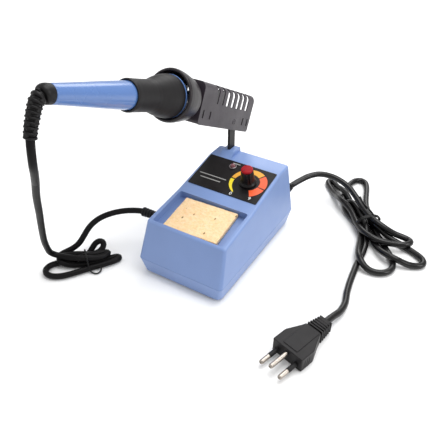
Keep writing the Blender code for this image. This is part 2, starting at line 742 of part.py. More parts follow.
def holder_ring():
    shape = (
        (11.8, -3.6), (13.6, -3.6), (13.6, 0.3), (15.4, 0.3), (15.4, 5.6), (18.4, 6.4),
        (19.4, 11.0), (20.9, 18.0), (21.7, 23.0), (21.9, 27.6), (21.2, 28.8), (20.0, 29.2),
        (19.2, 28.6), (18.9, 24.0), (15.2, 16.0), (12.6, 8.0), (11.8, 2.0),
    )
    origin = (HOLDER_NEAR_X, *PIVOT)
    finish("holder_ring", turned(shape, ring_frame(), 32), (BLACK, 0.45), origin, smooth=True)
    clip = ((13.9, -2.6), (14.6, -2.6), (14.6, -1.4), (13.9, -1.4))
    finish("ring_clip", turned(clip, ring_frame(), 32), (STEEL, 0.35, 1.0), origin)


def pivot_parts():
    frame = pivot_frame()
    origin = (HOLDER_NEAR_X, *PIVOT)
    screw = ((0, -9.2), (1.45, -9.2), (1.45, -1.1), (2.4, -0.9), (2.4, -0.1), (0, -0.1))
    finish("pivot_screw", turned(screw, frame, 20), (BLACK, 0.35, 0.8), origin)
    hex_nut("pivot_nut", frame, (-7.4, -4.8), (3.4, 1.8), origin)
    washer = ((1.8, -4.5), (4.0, -4.5), (4.0, -3.9), (1.8, -3.9))
    finish("pivot_washer", turned(washer, frame, 20), (STEEL, 0.35, 1.0), origin)


# --- iron ----------------------------------------------------------------------------
def iron_frame():
    """At the middle of the iron's flange, Z along the iron towards its cord."""
    return frame_at((IRON_X, *IRON_FLANGE), (0, -math.cos(IRON_PITCH), math.sin(IRON_PITCH)))


def iron_turned(name, shape, look, steps=24, smooth=True):
    origin = (IRON_X, *IRON_FLANGE)
    return finish(name, turned(shape, iron_frame(), steps), look, origin, smooth)


def iron():
    iron_turned(
        "iron_handle",
        (
            (6.6, -1.6), (17.3, -1.6), (17.6, -1.2), (17.6, -0.2), (17.3, 0.0), (9.7, 0.0), (9.7, 53.0),
            (10.5, 53.0), (10.5, 55.0), (9.6, 72.0), (8.4, 92.0), (7.2, 112.0), (6.6, 124.0),
            (6.3, 126.0), (3.4, 126.0), (3.4, 56.0), (6.6, 52.0),
        ),
        ((0.12, 0.3, 0.72), 0.3),
    )
    iron_turned(
        "iron_grip",
        (
            (10.0, 0.3), (17.2, 0.3), (17.6, 1.4), (17.2, 8.0), (15.8, 15.0), (13.8, 21.0),
            (12.6, 26.0), (12.3, 30.0), (12.2, 50.0), (12.0, 53.0), (11.4, 54.2), (10.9, 54.2),
            (10.9, 52.7), (10.0, 52.7),
        ),
        (BLACK, 0.6),
    )
    iron_turned(
        "iron_collar",
        ((5.4, -6.0), (8.4, -6.0), (8.8, -5.2), (8.8, -1.9), (5.4, -1.9)),
        (STEEL, 0.35, 1.0), 24,
    )
    iron_turned(
        "heater_barrel",
        ((4.2, -46.0), (5.1, -46.0), (5.1, 24.0), (4.2, 24.0)),
        (STEEL, 0.3, 1.0), 24,
    )
    iron_turned(
        "barrel_nut",
        ((3.1, -52.0), (4.6, -52.0), (6.2, -49.5), (6.2, -44.0), (5.4, -44.0), (5.4, -46.3), (3.1, -46.3)),
        (STEEL, 0.35, 1.0), 24,
    )
    iron_turned(
        "iron_tip",
        ((0, -76.0), (0.5, -75.6), (2.2, -64.0), (2.8, -60.0), (2.8, -44.0), (0, -44.0)),
        ((0.55, 0.5, 0.45), 0.35, 1.0), 20,
    )
    iron_turned(
        "heater_core",
        ((0, -43.7), (3.4, -43.7), (3.4, 20.0), (0, 20.0)),
        ((0.85, 0.83, 0.8), 0.6), 16,
    )


BOOT_ROUTE = (
    (-70.5, 201.7), (-74.2, 203.0), (-78.0, 203.0), (-81.2, 200.8), (-84.3, 196.4), (-87.1, 191.2),
    (-89.6, 186.0), (-91.4, 180.8),
)
BOOT_RIBS = 9


def iron_boot():
    """The cap behind the handle and the ribbed sleeve that bends down with the cord."""
    route = smooth_route([(IRON_X, y, z) for y, z in BOOT_ROUTE], 1.1)
    start = Vector((IRON_X, *IRON_FLANGE)) + 126.4 * (iron_frame().to_3x3() @ Vector((0, 0, 1)))
    shift = start - route[0]
    last = len(route) - 1
    points, radii = [], []
    for i, p in enumerate(route):
        points.append(p + shift * (1 - i / last))
        radii.append(boot_radius(i / last))
    tube("iron_boot", points, radii, (BLACK, 0.7), 2, (IRON_X, *IRON_FLANGE))


def boot_radius(t):
    if t < 0.14:
        return 6.5
    if t < 0.2:
        return 6.5 - 2.1 * (t - 0.14) / 0.06
    step = (t - 0.2) / 0.8 * BOOT_RIBS
    taper = 5.1 - 0.9 * (t - 0.2) / 0.8
    return taper if step % 1.0 > 0.5 else taper - 1.1


# --- cords ---------------------------------------------------------------------------
def mains_frame():
    """Where the mains cord leaves the rear wall, Z out of it."""
    x, z = MAINS_GLAND
    return frame_at((x, rear_y(z), z), (0, 1, 0))


def gland_frame():
    """Where the iron's cord leaves the left wall, Z out of it."""
    y, z = IRON_GLAND
    return frame_at((-half_width(z), y, z), (-1, -0.06, 0.02), (0, 1, 0))


def strain_relief(name, frame, length, root, tip, ribs, inner):
    """A ribbed sleeve with a groove that the wall sits in."""
    shape = [(inner, -6.0), (root + 0.9, -6.0), (root + 0.9, -3.4), (root - 0.2, -3.2)]
    shape += [(root - 0.2, 0.8), (root + 0.9, 1.0), (root + 0.9, 3.0)]
    for i in range(ribs):
        t = i / ribs
        at = 3.6 + (length - 3.6) * t
        step = (length - 3.6) / ribs
        outer = root + (tip - root) * t
        shape += [(outer - 0.8, at), (outer - 0.8, at + step * 0.35)]
        shape += [(outer, at + step * 0.45), (outer, at + step)]
    shape += [(inner, length)]
    return finish(name, turned(tuple(shape), frame, 12), (BLACK, 0.75))


def strain_reliefs():
    strain_relief("mains_strain_relief", mains_frame(), 20.6, 4.2, 3.9, 5, 3.2)
    strain_relief("iron_cord_strain_relief", gland_frame(), 21.0, 3.9, 4.6, 6, 2.9)


def hank(name, outline, low, high, look):
    bm = outline_prism(smooth_outline(outline), low, high)
    rounding = 3.0
    bmesh.ops.recalc_face_normals(bm, faces=bm.faces)
    bevel_edges(bm, rounding, 2, lambda e: abs(direction(e).z) < 0.5)
    return finish(name, bm, look, smooth=True)


def cords():
    look = (BLACK, 0.6)
    mains, thin = MAINS_DIAMETER / 2, IRON_CORD_DIAMETER / 2
    tube("mains_cord_lead", smooth_route(MAINS_LEAD_ROUTE, 6.0), mains, look, 2)
    hank("mains_cord_hank", MAINS_HANK_OUTLINE, 0.3, 18.0, look)
    tube("mains_cord_tail", smooth_route(MAINS_TAIL_ROUTE, 6.0), mains, look, 2)
    tube("iron_cord_drop_upper", smooth_route(IRON_DROP_UPPER, 5.5), thin, look, 2)
    tube("iron_cord_drop_lower", smooth_route(IRON_DROP_LOWER, 5.5), thin, look, 2)
    hank("iron_cord_hank", IRON_HANK_OUTLINE, 0.3, 17.0, look)
    tube("iron_cord_lead", smooth_route(IRON_LEAD_ROUTE, 5.5), thin, look, 2)


# --- plug ----------------------------------------------------------------------------
def plug_frame():
    """At the pins' root in the middle of the plug's face, Y towards the cord, Z up."""
    y = Vector((*PLUG_DIRECTION, 0.0)).normalized()
    x = Vector((y.y, -y.x, 0.0))
    turn = Matrix((x, y, Vector((0, 0, 1)))).transposed().to_4x4()
    return Matrix.Translation((*PLUG_ROOT, 0.0)) @ turn


def plug():
    look = (BLACK, 0.55)
    ring = (
        (-14.9, 0.6), (-14.3, 0.0), (14.3, 0.0), (14.9, 0.6), (14.9, 14.5), (8.6, 28.0), (7.6, 31.5),
        (-7.6, 31.5), (-8.6, 28.0), (-14.9, 14.5),
    )
    bm = outline_prism(ring, 0.2, 13.8)
    bmesh.ops.recalc_face_normals(bm, faces=bm.faces)
    bevel_edges(bm, 1.2, 2, lambda e: abs(direction(e).z) < 0.5)
    bmesh.ops.transform(bm, matrix=plug_frame(), verts=bm.verts)
    body = finish("plug_body", bm, look)
    neck = bmesh.new()
    add_box(neck, (-5.2, 30.0, 1.8), (5.2, 48.0, 12.2))
    for i in range(6):
        y = 33.0 + 2.7 * i
        half = 7.6 - 0.3 * i
        add_box(neck, (-half, y, 7.0 - half * 0.86), (half, y + 1.5, 7.0 + half * 0.86))
    bmesh.ops.transform(neck, matrix=plug_frame(), verts=neck.verts)
    combine(body, finish("add_neck", neck, None), "UNION").use_self = True
    pin((-9.5, 5.2), "plug_pin_left", 0.3)
    pin((9.5, 5.2), "plug_pin_right", 0.3)
    pin((0.0, 9.2), "plug_pin_earth", 0.3)
    sleeve((-9.5, 5.2), "pin_sleeve_left")
    sleeve((9.5, 5.2), "pin_sleeve_right")


def pin_frame(place):
    return plug_frame() @ frame_at((place[0], 0.0, place[1]), (0, -1, 0))


def pin(place, name, start):
    core = 1.55 if name != "plug_pin_earth" else 2.0
    step = 9.8 if name != "plug_pin_earth" else start
    shape = [(0, start), (core, start)]
    if step > start:
        shape += [(core, step), (2.0, step + 0.1)]
    shape += [(2.0, 18.0), (1.3, 19.0), (0, 19.2)]
    finish(name, turned(tuple(shape), pin_frame(place), 16), (BRASS, 0.25, 1.0), smooth=True)


def sleeve(place, name):
    shape = ((1.8, 0.3), (2.05, 0.3), (2.05, 9.5), (1.8, 9.5))
    finish(name, turned(shape, pin_frame(place), 16), (BLACK, 0.5), smooth=True)


def build():
    clear_scene()
    upper_housing()
    lower_housing()
    housing_screws()
    feet()
    panel_label()
    knob()
    control()
    lamp()
    electronics()
    ballast()
    sponge()
    holder_post()
    holder_channel()
    holder_ring()
    pivot_parts()
    iron()
    iron_boot()
    strain_reliefs()
    cords()
    plug()


build()
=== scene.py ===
"""The look of a soldering iron station: moulded shells, dial, sponge, slotted holder, iron,
tied cords and plug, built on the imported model's frame.

Shapes are drawn in millimetres in the station's own axes (X right, Y from the front edge to
the back, Z up from the bench) and become metres in the frame when an object is made.
"""
import json
import math

import bmesh
import bpy
import numpy as np
from mathutils import Matrix, Vector, noise


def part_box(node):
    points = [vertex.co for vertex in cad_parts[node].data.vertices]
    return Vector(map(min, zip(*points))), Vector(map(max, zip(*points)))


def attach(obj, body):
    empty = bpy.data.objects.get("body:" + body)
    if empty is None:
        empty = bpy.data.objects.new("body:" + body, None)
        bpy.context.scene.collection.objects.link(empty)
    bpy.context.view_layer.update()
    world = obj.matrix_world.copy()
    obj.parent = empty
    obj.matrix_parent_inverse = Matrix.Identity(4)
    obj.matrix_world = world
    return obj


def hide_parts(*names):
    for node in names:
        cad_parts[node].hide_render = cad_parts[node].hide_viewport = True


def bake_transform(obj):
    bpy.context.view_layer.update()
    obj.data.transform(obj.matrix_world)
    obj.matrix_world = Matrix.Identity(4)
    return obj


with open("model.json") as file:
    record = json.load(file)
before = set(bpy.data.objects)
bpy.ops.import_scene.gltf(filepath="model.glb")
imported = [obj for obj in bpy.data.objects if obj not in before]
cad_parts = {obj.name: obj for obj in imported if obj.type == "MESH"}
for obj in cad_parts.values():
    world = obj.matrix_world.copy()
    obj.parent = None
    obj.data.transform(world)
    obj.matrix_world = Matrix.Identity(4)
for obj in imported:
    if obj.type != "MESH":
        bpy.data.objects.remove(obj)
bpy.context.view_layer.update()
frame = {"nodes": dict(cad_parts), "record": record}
MM = 0.001


def station_origin():
    """The middle of the lower housing's front edge, on the bench."""
    low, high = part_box("lower_housing")
    return Vector(((low.x + high.x) / 2, low.y, 0.0))


ORIGIN = station_origin()

# --- driving dimensions, millimetres ---------------------------------------------------
GAP = 0.3
HALF_WIDTH = 43.7
DEPTH = 143.9
BELT_Z = 17.2
SIDE_DRAFT = 0.092
FRONT_DRAFT = 0.321
REAR_DRAFT = 0.149
WALL = 2.2
CORNER_RADIUS = 3.3
TOP_RADIUS = 2.0
RIM_Y = 11.5
RIM_Z = 52.9
RIM_SLOPE = 0.123
BREAK_Y = 61.0
PANEL_SLOPE = 0.215
PANEL_END_Y = 116.0
BASE_Z = 1.6
BASE_HALF_WIDTH = 41.3
BASE_FRONT_Y = 2.2
BASE_REAR_Y = 141.8
BASE_RADIUS = 5.5

TRAY_X = 36.0
TRAY_Y = (14.0, 59.2)
TRAY_DEPTH = 7.0
SPONGE_SIZE = (53.5, 41.0, 4.4)
SPONGE_CENTRE_Y = 36.6
SPONGE_LIFT = 0.15
SPONGE_TURN = math.radians(2.2)

LABEL_X = 36.4
LABEL_Y = (71.6, 114.2)
DIAL = (17.0, 93.0)
DIAL_RADIUS = 18.0
DIAL_WIDTH = 8.0
LAMP = (-7.1, 106.6)

POST_X = (-23.6, -21.3)
POST_Y = (124.0, 134.6)
POST_FOOT_Z = 59.5
PIVOT = (129.3, 104.0)
SOCKET_TOP_Z = 75.4
SOCKET_X = (-28.5, -15.2)
SOCKET_ROOT = ((-27.6, 121.5, 57.0), (-16.6, 135.2, 71.5))
POST_SCREW_HOLE = 1.6

HOLDER_PITCH = math.radians(27.36)
HOLDER_NEAR_X = -20.1
HOLDER_WIDTH = 32.0
HOLDER_HEIGHT = 36.2
HOLDER_LENGTH = 102.8
HOLDER_MOUTH = (65.0, 128.1)
SHEET = 1.0
FOLD_RADIUS = 6.0
SLOTS = {"count": 7, "first": 25.5, "pitch": 10.4, "width": 4.6, "bottom": 20.5}
TAB_SLOTS = (6.0, 18.5, 86.5, 97.0)

IRON_PITCH = math.radians(20.94)
IRON_FLANGE = (47.5, 156.6)
IRON_X = HOLDER_NEAR_X - HOLDER_WIDTH / 2

MAINS_GLAND = (31.0, 28.0)
IRON_GLAND = (36.0, 39.0)
MAINS_DIAMETER = 6.2
IRON_CORD_DIAMETER = 5.6

PLUG_ROOT = (116.6, -23.4)
PLUG_DIRECTION = (0.285, 0.9585)

FOOT_PLACES = ((-30.0, 16.0), (30.0, 16.0), (-30.0, 128.0), (30.0, 128.0))
SCREW_PLACES = ((-33.0, 27.0), (33.0, 27.0), (-33.0, 114.0), (33.0, 114.0))

# The cords' routes, in metres from the station's origin.
MAINS_LEAD_ROUTE = (
    (0.0310, 0.1440, 0.0280), (0.0310, 0.1540, 0.0280), (0.0310, 0.1636, 0.0280),
    (0.0320, 0.1670, 0.0283), (0.0365, 0.1760, 0.0305), (0.0430, 0.1860, 0.0330),
    (0.0520, 0.1950, 0.0335), (0.0660, 0.2010, 0.0305), (0.0820, 0.1995, 0.0260),
    (0.0960, 0.1920, 0.0208), (0.1070, 0.1820, 0.0167), (0.1180, 0.1730, 0.0142),
    (0.1320, 0.1680, 0.0120),
)
MAINS_HANK_LOOPS = (
    (  # out over the top to the right and back to the tie's left edge
        (0.146, 0.168, 0.0095), (0.156, 0.169, 0.0088), (0.163, 0.167, 0.0085),
        (0.164, 0.161, 0.0085), (0.158, 0.155, 0.0090), (0.148, 0.151, 0.0096),
        (0.136, 0.147, 0.0096), (0.125, 0.150, 0.0096), (0.116, 0.158, 0.0085),
        (0.1085, 0.167, 0.0070),
    ),
    (  # the narrow loop that lies back towards the housing
        (0.097, 0.180, 0.0085), (0.082, 0.193, 0.0096), (0.067, 0.210, 0.0065),
        (0.055, 0.224, 0.0045), (0.0485, 0.233, 0.0038), (0.052, 0.2375, 0.0038),
        (0.064, 0.2265, 0.0040), (0.080, 0.211, 0.0055), (0.096, 0.194, 0.0080),
        (0.114, 0.177, 0.0090),
    ),
    (  # the long loop to the right, flat on the bench
        (0.128, 0.169, 0.0070), (0.141, 0.165, 0.0040), (0.154, 0.162, 0.0032),
        (0.167, 0.157, 0.0032), (0.177, 0.152, 0.0032), (0.1825, 0.145, 0.0032),
        (0.179, 0.138, 0.0032), (0.170, 0.1345, 0.0040), (0.161, 0.131, 0.0070),
        (0.151, 0.131, 0.0094), (0.139, 0.139, 0.0096), (0.127, 0.154, 0.0070),
        (0.1155, 0.168, 0.0040),
    ),
    (  # the tall loop at the back
        (0.103, 0.180, 0.0034), (0.088, 0.192, 0.0033), (0.079, 0.203, 0.0032),
        (0.0745, 0.221, 0.0032), (0.074, 0.243, 0.0032), (0.0785, 0.255, 0.0032),
        (0.087, 0.255, 0.0032), (0.093, 0.243, 0.0032), (0.098, 0.226, 0.0032),
        (0.103, 0.210, 0.0032), (0.112, 0.193, 0.0032),
    ),
    (  # the round loop at the front
        (0.126, 0.172, 0.0032), (0.140, 0.152, 0.0032), (0.151, 0.139, 0.0032),
        (0.1575, 0.129, 0.0032), (0.1575, 0.118, 0.0032), (0.1515, 0.1105, 0.0032),
        (0.1425, 0.1075, 0.0034), (0.1335, 0.108, 0.0055), (0.127, 0.113, 0.0085),
        (0.1225, 0.124, 0.0096), (0.119, 0.142, 0.0080), (0.113, 0.162, 0.0050),
    ),
    (  # the short fold beside the tie
        (0.104, 0.174, 0.0070), (0.094, 0.182, 0.0086), (0.085, 0.190, 0.0086),
        (0.084, 0.197, 0.0086), (0.091, 0.199, 0.0088), (0.099, 0.191, 0.0096),
        (0.107, 0.181, 0.0106), (0.115, 0.171, 0.0110),
    ),
)
MAINS_TAIL_ROUTE = (
    (0.1215, 0.1570, 0.0076), (0.1245, 0.1450, 0.0040), (0.1265, 0.1310, 0.0033),
    (0.1275, 0.1150, 0.0032), (0.1280, 0.1010, 0.0033), (0.1295, 0.0860, 0.0033),
    (0.1320, 0.0700, 0.0034), (0.1354, 0.0550, 0.0038), (0.1352, 0.0432, 0.0048),
    (0.1326, 0.0338, 0.0062), (0.1305, 0.0260, 0.0070), (0.1288, 0.0175, 0.0070),
)
IRON_DROP_UPPER = (
    (-0.0361, -0.0905, 0.1840), (-0.0361, -0.0916, 0.1798), (-0.0363, -0.0926, 0.1730),
    (-0.0385, -0.0920, 0.1630), (-0.0450, -0.0876, 0.1520), (-0.0540, -0.0816, 0.1390),
)
IRON_DROP_LOWER = (
    (-0.0540, -0.0816, 0.1390), (-0.0650, -0.0754, 0.1200), (-0.0795, -0.0658, 0.0935),
    (-0.0930, -0.0572, 0.0680), (-0.1050, -0.0490, 0.0440), (-0.1130, -0.0420, 0.0275),
    (-0.1165, -0.0376, 0.0176),
)
IRON_LEAD_ROUTE = (
    (-0.0420, 0.0360, 0.0390), (-0.0550, 0.0357, 0.0394), (-0.0641, 0.0346, 0.0394),
    (-0.0765, 0.0290, 0.0388), (-0.0885, 0.0205, 0.0366), (-0.0975, 0.0105, 0.0328),
    (-0.1018, 0.0008, 0.0275), (-0.1035, -0.0068, 0.0215),
)
IRON_HANK_LOOPS = (
    (  # down along the back to the left end
        (-0.1045, -0.0130, 0.0165), (-0.1085, -0.0185, 0.0125), (-0.1140, -0.0240, 0.0090),
        (-0.1185, -0.0290, 0.0056), (-0.1165, -0.0325, 0.0034), (-0.1100, -0.0270, 0.0036),
        (-0.1010, -0.0190, 0.0040),
    ),
    (  # the loop that stands up at the back
        (-0.0950, -0.0130, 0.0060), (-0.0955, -0.0060, 0.0112), (-0.0950, -0.0005, 0.0158),
        (-0.0910, 0.0034, 0.0172), (-0.0865, 0.0034, 0.0155), (-0.0850, -0.0015, 0.0112),
        (-0.0880, -0.0090, 0.0086),
    ),
    (  # a middle run to the left and back
        (-0.0950, -0.0155, 0.0095), (-0.1040, -0.0215, 0.0105), (-0.1120, -0.0275, 0.0095),
        (-0.1155, -0.0320, 0.0080), (-0.1110, -0.0330, 0.0064), (-0.1020, -0.0275, 0.0056),
        (-0.0900, -0.0200, 0.0056),
    ),
    (  # the long run to the right end
        (-0.0810, -0.0100, 0.0050), (-0.0760, -0.0010, 0.0046), (-0.0715, 0.0050, 0.0036),
        (-0.0680, 0.0030, 0.0029), (-0.0715, -0.0050, 0.0029), (-0.0780, -0.0150, 0.0029),
        (-0.0850, -0.0260, 0.0029),
    ),
    (  # the open loop at the left
        (-0.0910, -0.0360, 0.0029), (-0.0975, -0.0450, 0.0029), (-0.1050, -0.0505, 0.0029),
        (-0.1125, -0.0510, 0.0029), (-0.1175, -0.0465, 0.0029), (-0.1180, -0.0400, 0.0029),
        (-0.1130, -0.0335, 0.0036), (-0.1050, -0.0270, 0.0066),
    ),
    (  # the short fold on top and out to the hanging cord
        (-0.0970, -0.0200, 0.0100), (-0.0900, -0.0120, 0.0104), (-0.0845, -0.0040, 0.0094),
        (-0.0815, 0.0010, 0.0082), (-0.0780, -0.0025, 0.0080), (-0.0815, -0.0105, 0.0096),
        (-0.0890, -0.0200, 0.0124), (-0.0980, -0.0265, 0.0130), (-0.1075, -0.0300, 0.0108),
        (-0.1145, -0.0325, 0.0102),
    ),
)


def row(x, y, z):
    """A station point in millimetres as a frame point in metres."""
    return Vector((x, y, z)) * MM + ORIGIN


def linked(name, data):
    """An object that holds some data, in the scene."""
    made = bpy.data.objects.new(name, data)
    bpy.context.scene.collection.objects.link(made)
    return made


def axes(x, y, z, at):
    """The frame at a point that has three given axes."""
    return Matrix.Translation(at) @ Matrix((x, y, z)).transposed().to_4x4()


# --- camera ----------------------------------------------------------------------------
CAMERA_PLACE = (203.0, -273.3, 331.5)
CAMERA_FORWARD = (-0.39686, 0.68825, -0.60730)
CAMERA_ROLL = math.radians(0.957)
CAMERA_LENS = 42.04


def make_camera():
    data = bpy.data.cameras.new("Camera")
    data.lens = CAMERA_LENS
    data.sensor_width = 36.0
    data.clip_start = 0.01
    data.clip_end = 20.0
    camera = linked("Camera", data)
    forward = Vector(CAMERA_FORWARD).normalized()
    right = forward.cross(Vector((0, 0, 1))).normalized()
    up = right.cross(forward)
    rolled_right = right * math.cos(CAMERA_ROLL) + up * math.sin(CAMERA_ROLL)
    rolled_up = up * math.cos(CAMERA_ROLL) - right * math.sin(CAMERA_ROLL)
    camera.matrix_world = axes(rolled_right, rolled_up, -forward, row(*CAMERA_PLACE))
    bpy.context.scene.camera = camera


# --- materials -------------------------------------------------------------------------
class Look:
    """A Principled material built up node by node, on object coordinates in metres."""

    def __init__(self, name, base, roughness, metallic=0.0):
        self.material = bpy.data.materials.new(name)
        self.material.use_nodes = True
        self.tree = self.material.node_tree
        self.shader = self.tree.nodes["Principled BSDF"]
        self.place = self.add("ShaderNodeTexCoord").outputs["Object"]
        self.base = base
        self.shader.inputs["Base Color"].default_value = (*base, 1.0)
        self.shader.inputs["Roughness"].default_value = roughness
        self.shader.inputs["Metallic"].default_value = metallic
        self.height = None

    def add(self, kind, values=None, **settings):
        """A node of a kind, with its settings and then its inputs' values."""
        node = self.tree.nodes.new(kind)
        for key, value in settings.items():
            setattr(node, key, value)
        for key, value in (values or {}).items():
            node.inputs[key].default_value = value
        return node

    def link(self, out, to):
        self.tree.links.new(out, to)

    def set(self, **values):
        for key, value in values.items():
            self.shader.inputs[key.replace("_", " ")].default_value = value
        return self

    def stretched(self, scale):
        node = self.add("ShaderNodeMapping", {"Scale": scale})
        self.link(self.place, node.inputs["Vector"])
        return node.outputs["Vector"]

    def noise(self, scale, detail=3.0, roughness=0.55, at=None):
        values = {"Scale": scale, "Detail": detail, "Roughness": roughness}
        node = self.add("ShaderNodeTexNoise", values)
        self.link(at or self.place, node.inputs["Vector"])
        return node.outputs["Fac"]

    def cells(self, scale, at=None):
        node = self.add("ShaderNodeTexVoronoi", {"Scale": scale})
        self.link(at or self.place, node.inputs["Vector"])
        return node.outputs["Distance"]

    def ramp(self, value, stops):
        node = self.add("ShaderNodeValToRGB")
        band = node.color_ramp
        while len(band.elements) < len(stops):
            band.elements.new(0.5)
        for element, (at, colour) in zip(band.elements, stops):
            element.position = at
            element.color = (*colour, 1.0) if len(colour) == 3 else colour
        self.link(value, node.inputs["Fac"])
        return node.outputs["Color"]

    def mix(self, factor, first, second, blend="MIX"):
        node = self.add("ShaderNodeMix", data_type="RGBA", blend_type=blend)
        for socket, value in ((0, factor), (6, first), (7, second)):
            if hasattr(value, "links"):
                self.link(value, node.inputs[socket])
            elif socket == 0:
                node.inputs[0].default_value = value
            else:
                node.inputs[socket].default_value = (*value, 1.0)
        return node.outputs[2]

    def colour(self, socket):
        self.link(socket, self.shader.inputs["Base Color"])
        return self

    def vary(self, scale, amount, detail=3.0):
        """Lets the base colour drift a little lighter and darker."""
        dark = tuple(c * (1 - amount) for c in self.base)
        light = tuple(min(1.0, c * (1 + amount)) for c in self.base)
        self.colour(self.ramp(self.noise(scale, detail), ((0.3, dark), (0.7, light))))
        return self

    def rough(self, scale, low, high, detail=4.0, at=None):
        """Lets the roughness run between two values, as handling and moulding leave it."""
        values = {"From Min": 0.3, "From Max": 0.7, "To Min": low, "To Max": high}
        node = self.add("ShaderNodeMapRange", values)
        self.link(self.noise(scale, detail, at=at), node.inputs["Value"])
        self.link(node.outputs["Result"], self.shader.inputs["Roughness"])
        return self

    def bump(self, value, strength, distance):
        node = self.add("ShaderNodeBump", {"Strength": strength, "Distance": distance})
        self.link(value, node.inputs["Height"])
        if self.height is not None:
            self.link(self.height, node.inputs["Normal"])
        self.height = node.outputs["Normal"]
        self.link(self.height, self.shader.inputs["Normal"])
        return self


def moulded(name, base, low, high, grain=0.00004, scale=1800.0):
    """Injection-moulded plastic: an even colour, a fine spark-eroded grain, slow gloss drift."""
    look = Look(name, base, (low + high) / 2)
    look.vary(25.0, 0.035).rough(60.0, low, high)
    look.bump(look.noise(scale, 2.0), 0.25, grain)
    look.bump(look.noise(35.0, 2.0), 0.15, 0.0002)
    return look


def metal(name, base, low, high, stretch=(60.0, 900.0, 60.0)):
    """Machined or drawn metal with fine lines one way."""
    look = Look(name, base, (low + high) / 2, 1.0)
    lines = look.stretched(stretch)
    look.vary(90.0, 0.06).rough(1.0, low, high, at=lines)
    look.bump(look.noise(2.5, 3.0, at=lines), 0.2, 0.00003)
    return look


def make_blue_shell():
    look = moulded("blue_shell", (0.168, 0.262, 0.520), 0.38, 0.48)
    look.set(Specular_IOR_Level=0.6, Coat_Weight=0.3, Coat_Roughness=0.3)
    return look.material


def make_blue_handle():
    look = moulded("blue_handle", (0.080, 0.170, 0.415), 0.2, 0.3, 0.00001, 900.0)
    look.set(Coat_Weight=0.5, Coat_Roughness=0.12)
    streaks = look.stretched((700.0, 40.0, 700.0))
    look.bump(look.noise(1.0, 3.0, at=streaks), 0.12, 0.00004)
    return look.material


def make_label():
    look = Look("label_film", (0.0075, 0.0062, 0.0066), 0.36)
    look.vary(120.0, 0.12).rough(140.0, 0.3, 0.42)
    look.bump(look.cells(2600.0), 0.2, 0.00002)
    look.set(Specular_IOR_Level=0.24)
    return look.material


def make_ink(name, colour):
    look = Look(name, colour, 0.4)
    look.vary(400.0, 0.05).rough(300.0, 0.34, 0.46)
    look.bump(look.cells(2600.0), 0.2, 0.00002)
    return look.material


def make_powder_coat():
    look = Look("black_powder_coat", (0.026, 0.019, 0.027), 0.42)
    look.vary(70.0, 0.15).rough(50.0, 0.36, 0.5)
    look.set(Specular_IOR_Level=0.55)
    look.bump(look.noise(1300.0, 3.0), 0.35, 0.00006)
    look.bump(look.noise(280.0, 2.0), 0.2, 0.00008)
    return look.material


def make_bakelite():
    look = moulded("black_bakelite", (0.014, 0.011, 0.013), 0.32, 0.44, 0.00003, 1100.0)
    look.set(Specular_IOR_Level=0.34)
    return look.material


def make_black(name, tone, low, high, grain, scale, shine=0.22):
    look = moulded(name, (tone, tone * 0.92, tone * 0.98), low, high, grain, scale)
    look.set(Specular_IOR_Level=shine)
    return look.material


def make_sponge():
    """Dry cellulose: cream, full of small torn pores, with a few darker flecks."""
    look = Look("cellulose", (0.86, 0.58, 0.36), 0.95)
    pores = look.cells(420.0)
    warped = look.stretched((1.0, 0.55, 1.0))
    flecks = look.cells(230.0, at=warped)
    body = look.ramp(look.noise(300.0, 6.0, 0.7), (
        (0.30, (0.76, 0.53, 0.27)), (0.48, (0.86, 0.60, 0.34)), (0.7, (0.90, 0.69, 0.46)),
    ))
    # The pores' middles are mixed towards a darker brown: painted shade in the pores.
    depth = look.ramp(pores, ((0.0, (0.55,) * 3), (0.25, (0.0,) * 3)))
    shaded = look.mix(depth, body, (0.66, 0.45, 0.21))
    mask = look.ramp(look.noise(90.0, 2.0), ((0.52, (0.0,) * 3), (0.57, (1.0,) * 3)))
    dots = look.ramp(flecks, ((0.13, (1.0,) * 3), (0.22, (0.0,) * 3)))
    both = look.mix(1.0, mask, dots, "MULTIPLY")
    look.colour(look.mix(both, shaded, (0.20, 0.13, 0.05)))
    look.bump(pores, 0.7, 0.0006)
    look.bump(look.noise(900.0, 5.0, 0.7), 0.6, 0.0005)
    look.set(Subsurface_Weight=0.15, Subsurface_Scale=0.002)
    look.set(Sheen_Weight=0.2, Specular_IOR_Level=0.2)
    return look.material


def make_lens():
    look = Look("lamp_lens", (0.30, 0.09, 0.11), 0.08)
    look.vary(300.0, 0.08).rough(200.0, 0.05, 0.14)
    look.set(Transmission_Weight=0.45, IOR=1.49, Coat_Weight=0.4)
    look.bump(look.noise(600.0), 0.1, 0.00004)
    return look.material


def make_board():
    look = Look("circuit_board", (0.02, 0.15, 0.06), 0.35)
    tracks = look.add("ShaderNodeTexBrick", {
        "Scale": 90.0, "Mortar Size": 0.03, "Color1": (0.02, 0.15, 0.06, 1.0),
        "Color2": (0.025, 0.2, 0.08, 1.0), "Mortar": (0.35, 0.36, 0.30, 1.0),
    })
    look.link(look.place, tracks.inputs["Vector"])
    look.colour(tracks.outputs["Color"]).rough(120.0, 0.28, 0.42)
    look.bump(tracks.outputs["Fac"], 0.3, 0.00005)
    return look.material


def make_winding():
    look = Look("copper_winding", (0.60, 0.24, 0.10), 0.3, 1.0)
    values = {"Scale": 420.0, "Distortion": 1.5}
    waves = look.add("ShaderNodeTexWave", values, wave_type="RINGS", rings_direction="Z")
    look.link(look.place, waves.inputs["Vector"])
    # The colour follows the turns' bump, darker in the grooves between turns: painted shade.
    look.colour(look.mix(waves.outputs["Fac"], (0.35, 0.10, 0.04), (0.72, 0.32, 0.14)))
    look.rough(200.0, 0.25, 0.4).bump(waves.outputs["Fac"], 0.6, 0.0002)
    return look.material


def make_floor():
    look = Look("bench", (0.95, 0.95, 0.95), 0.85)
    look.vary(3.0, 0.006)
    look.set(Specular_IOR_Level=0.2)
    return look.material


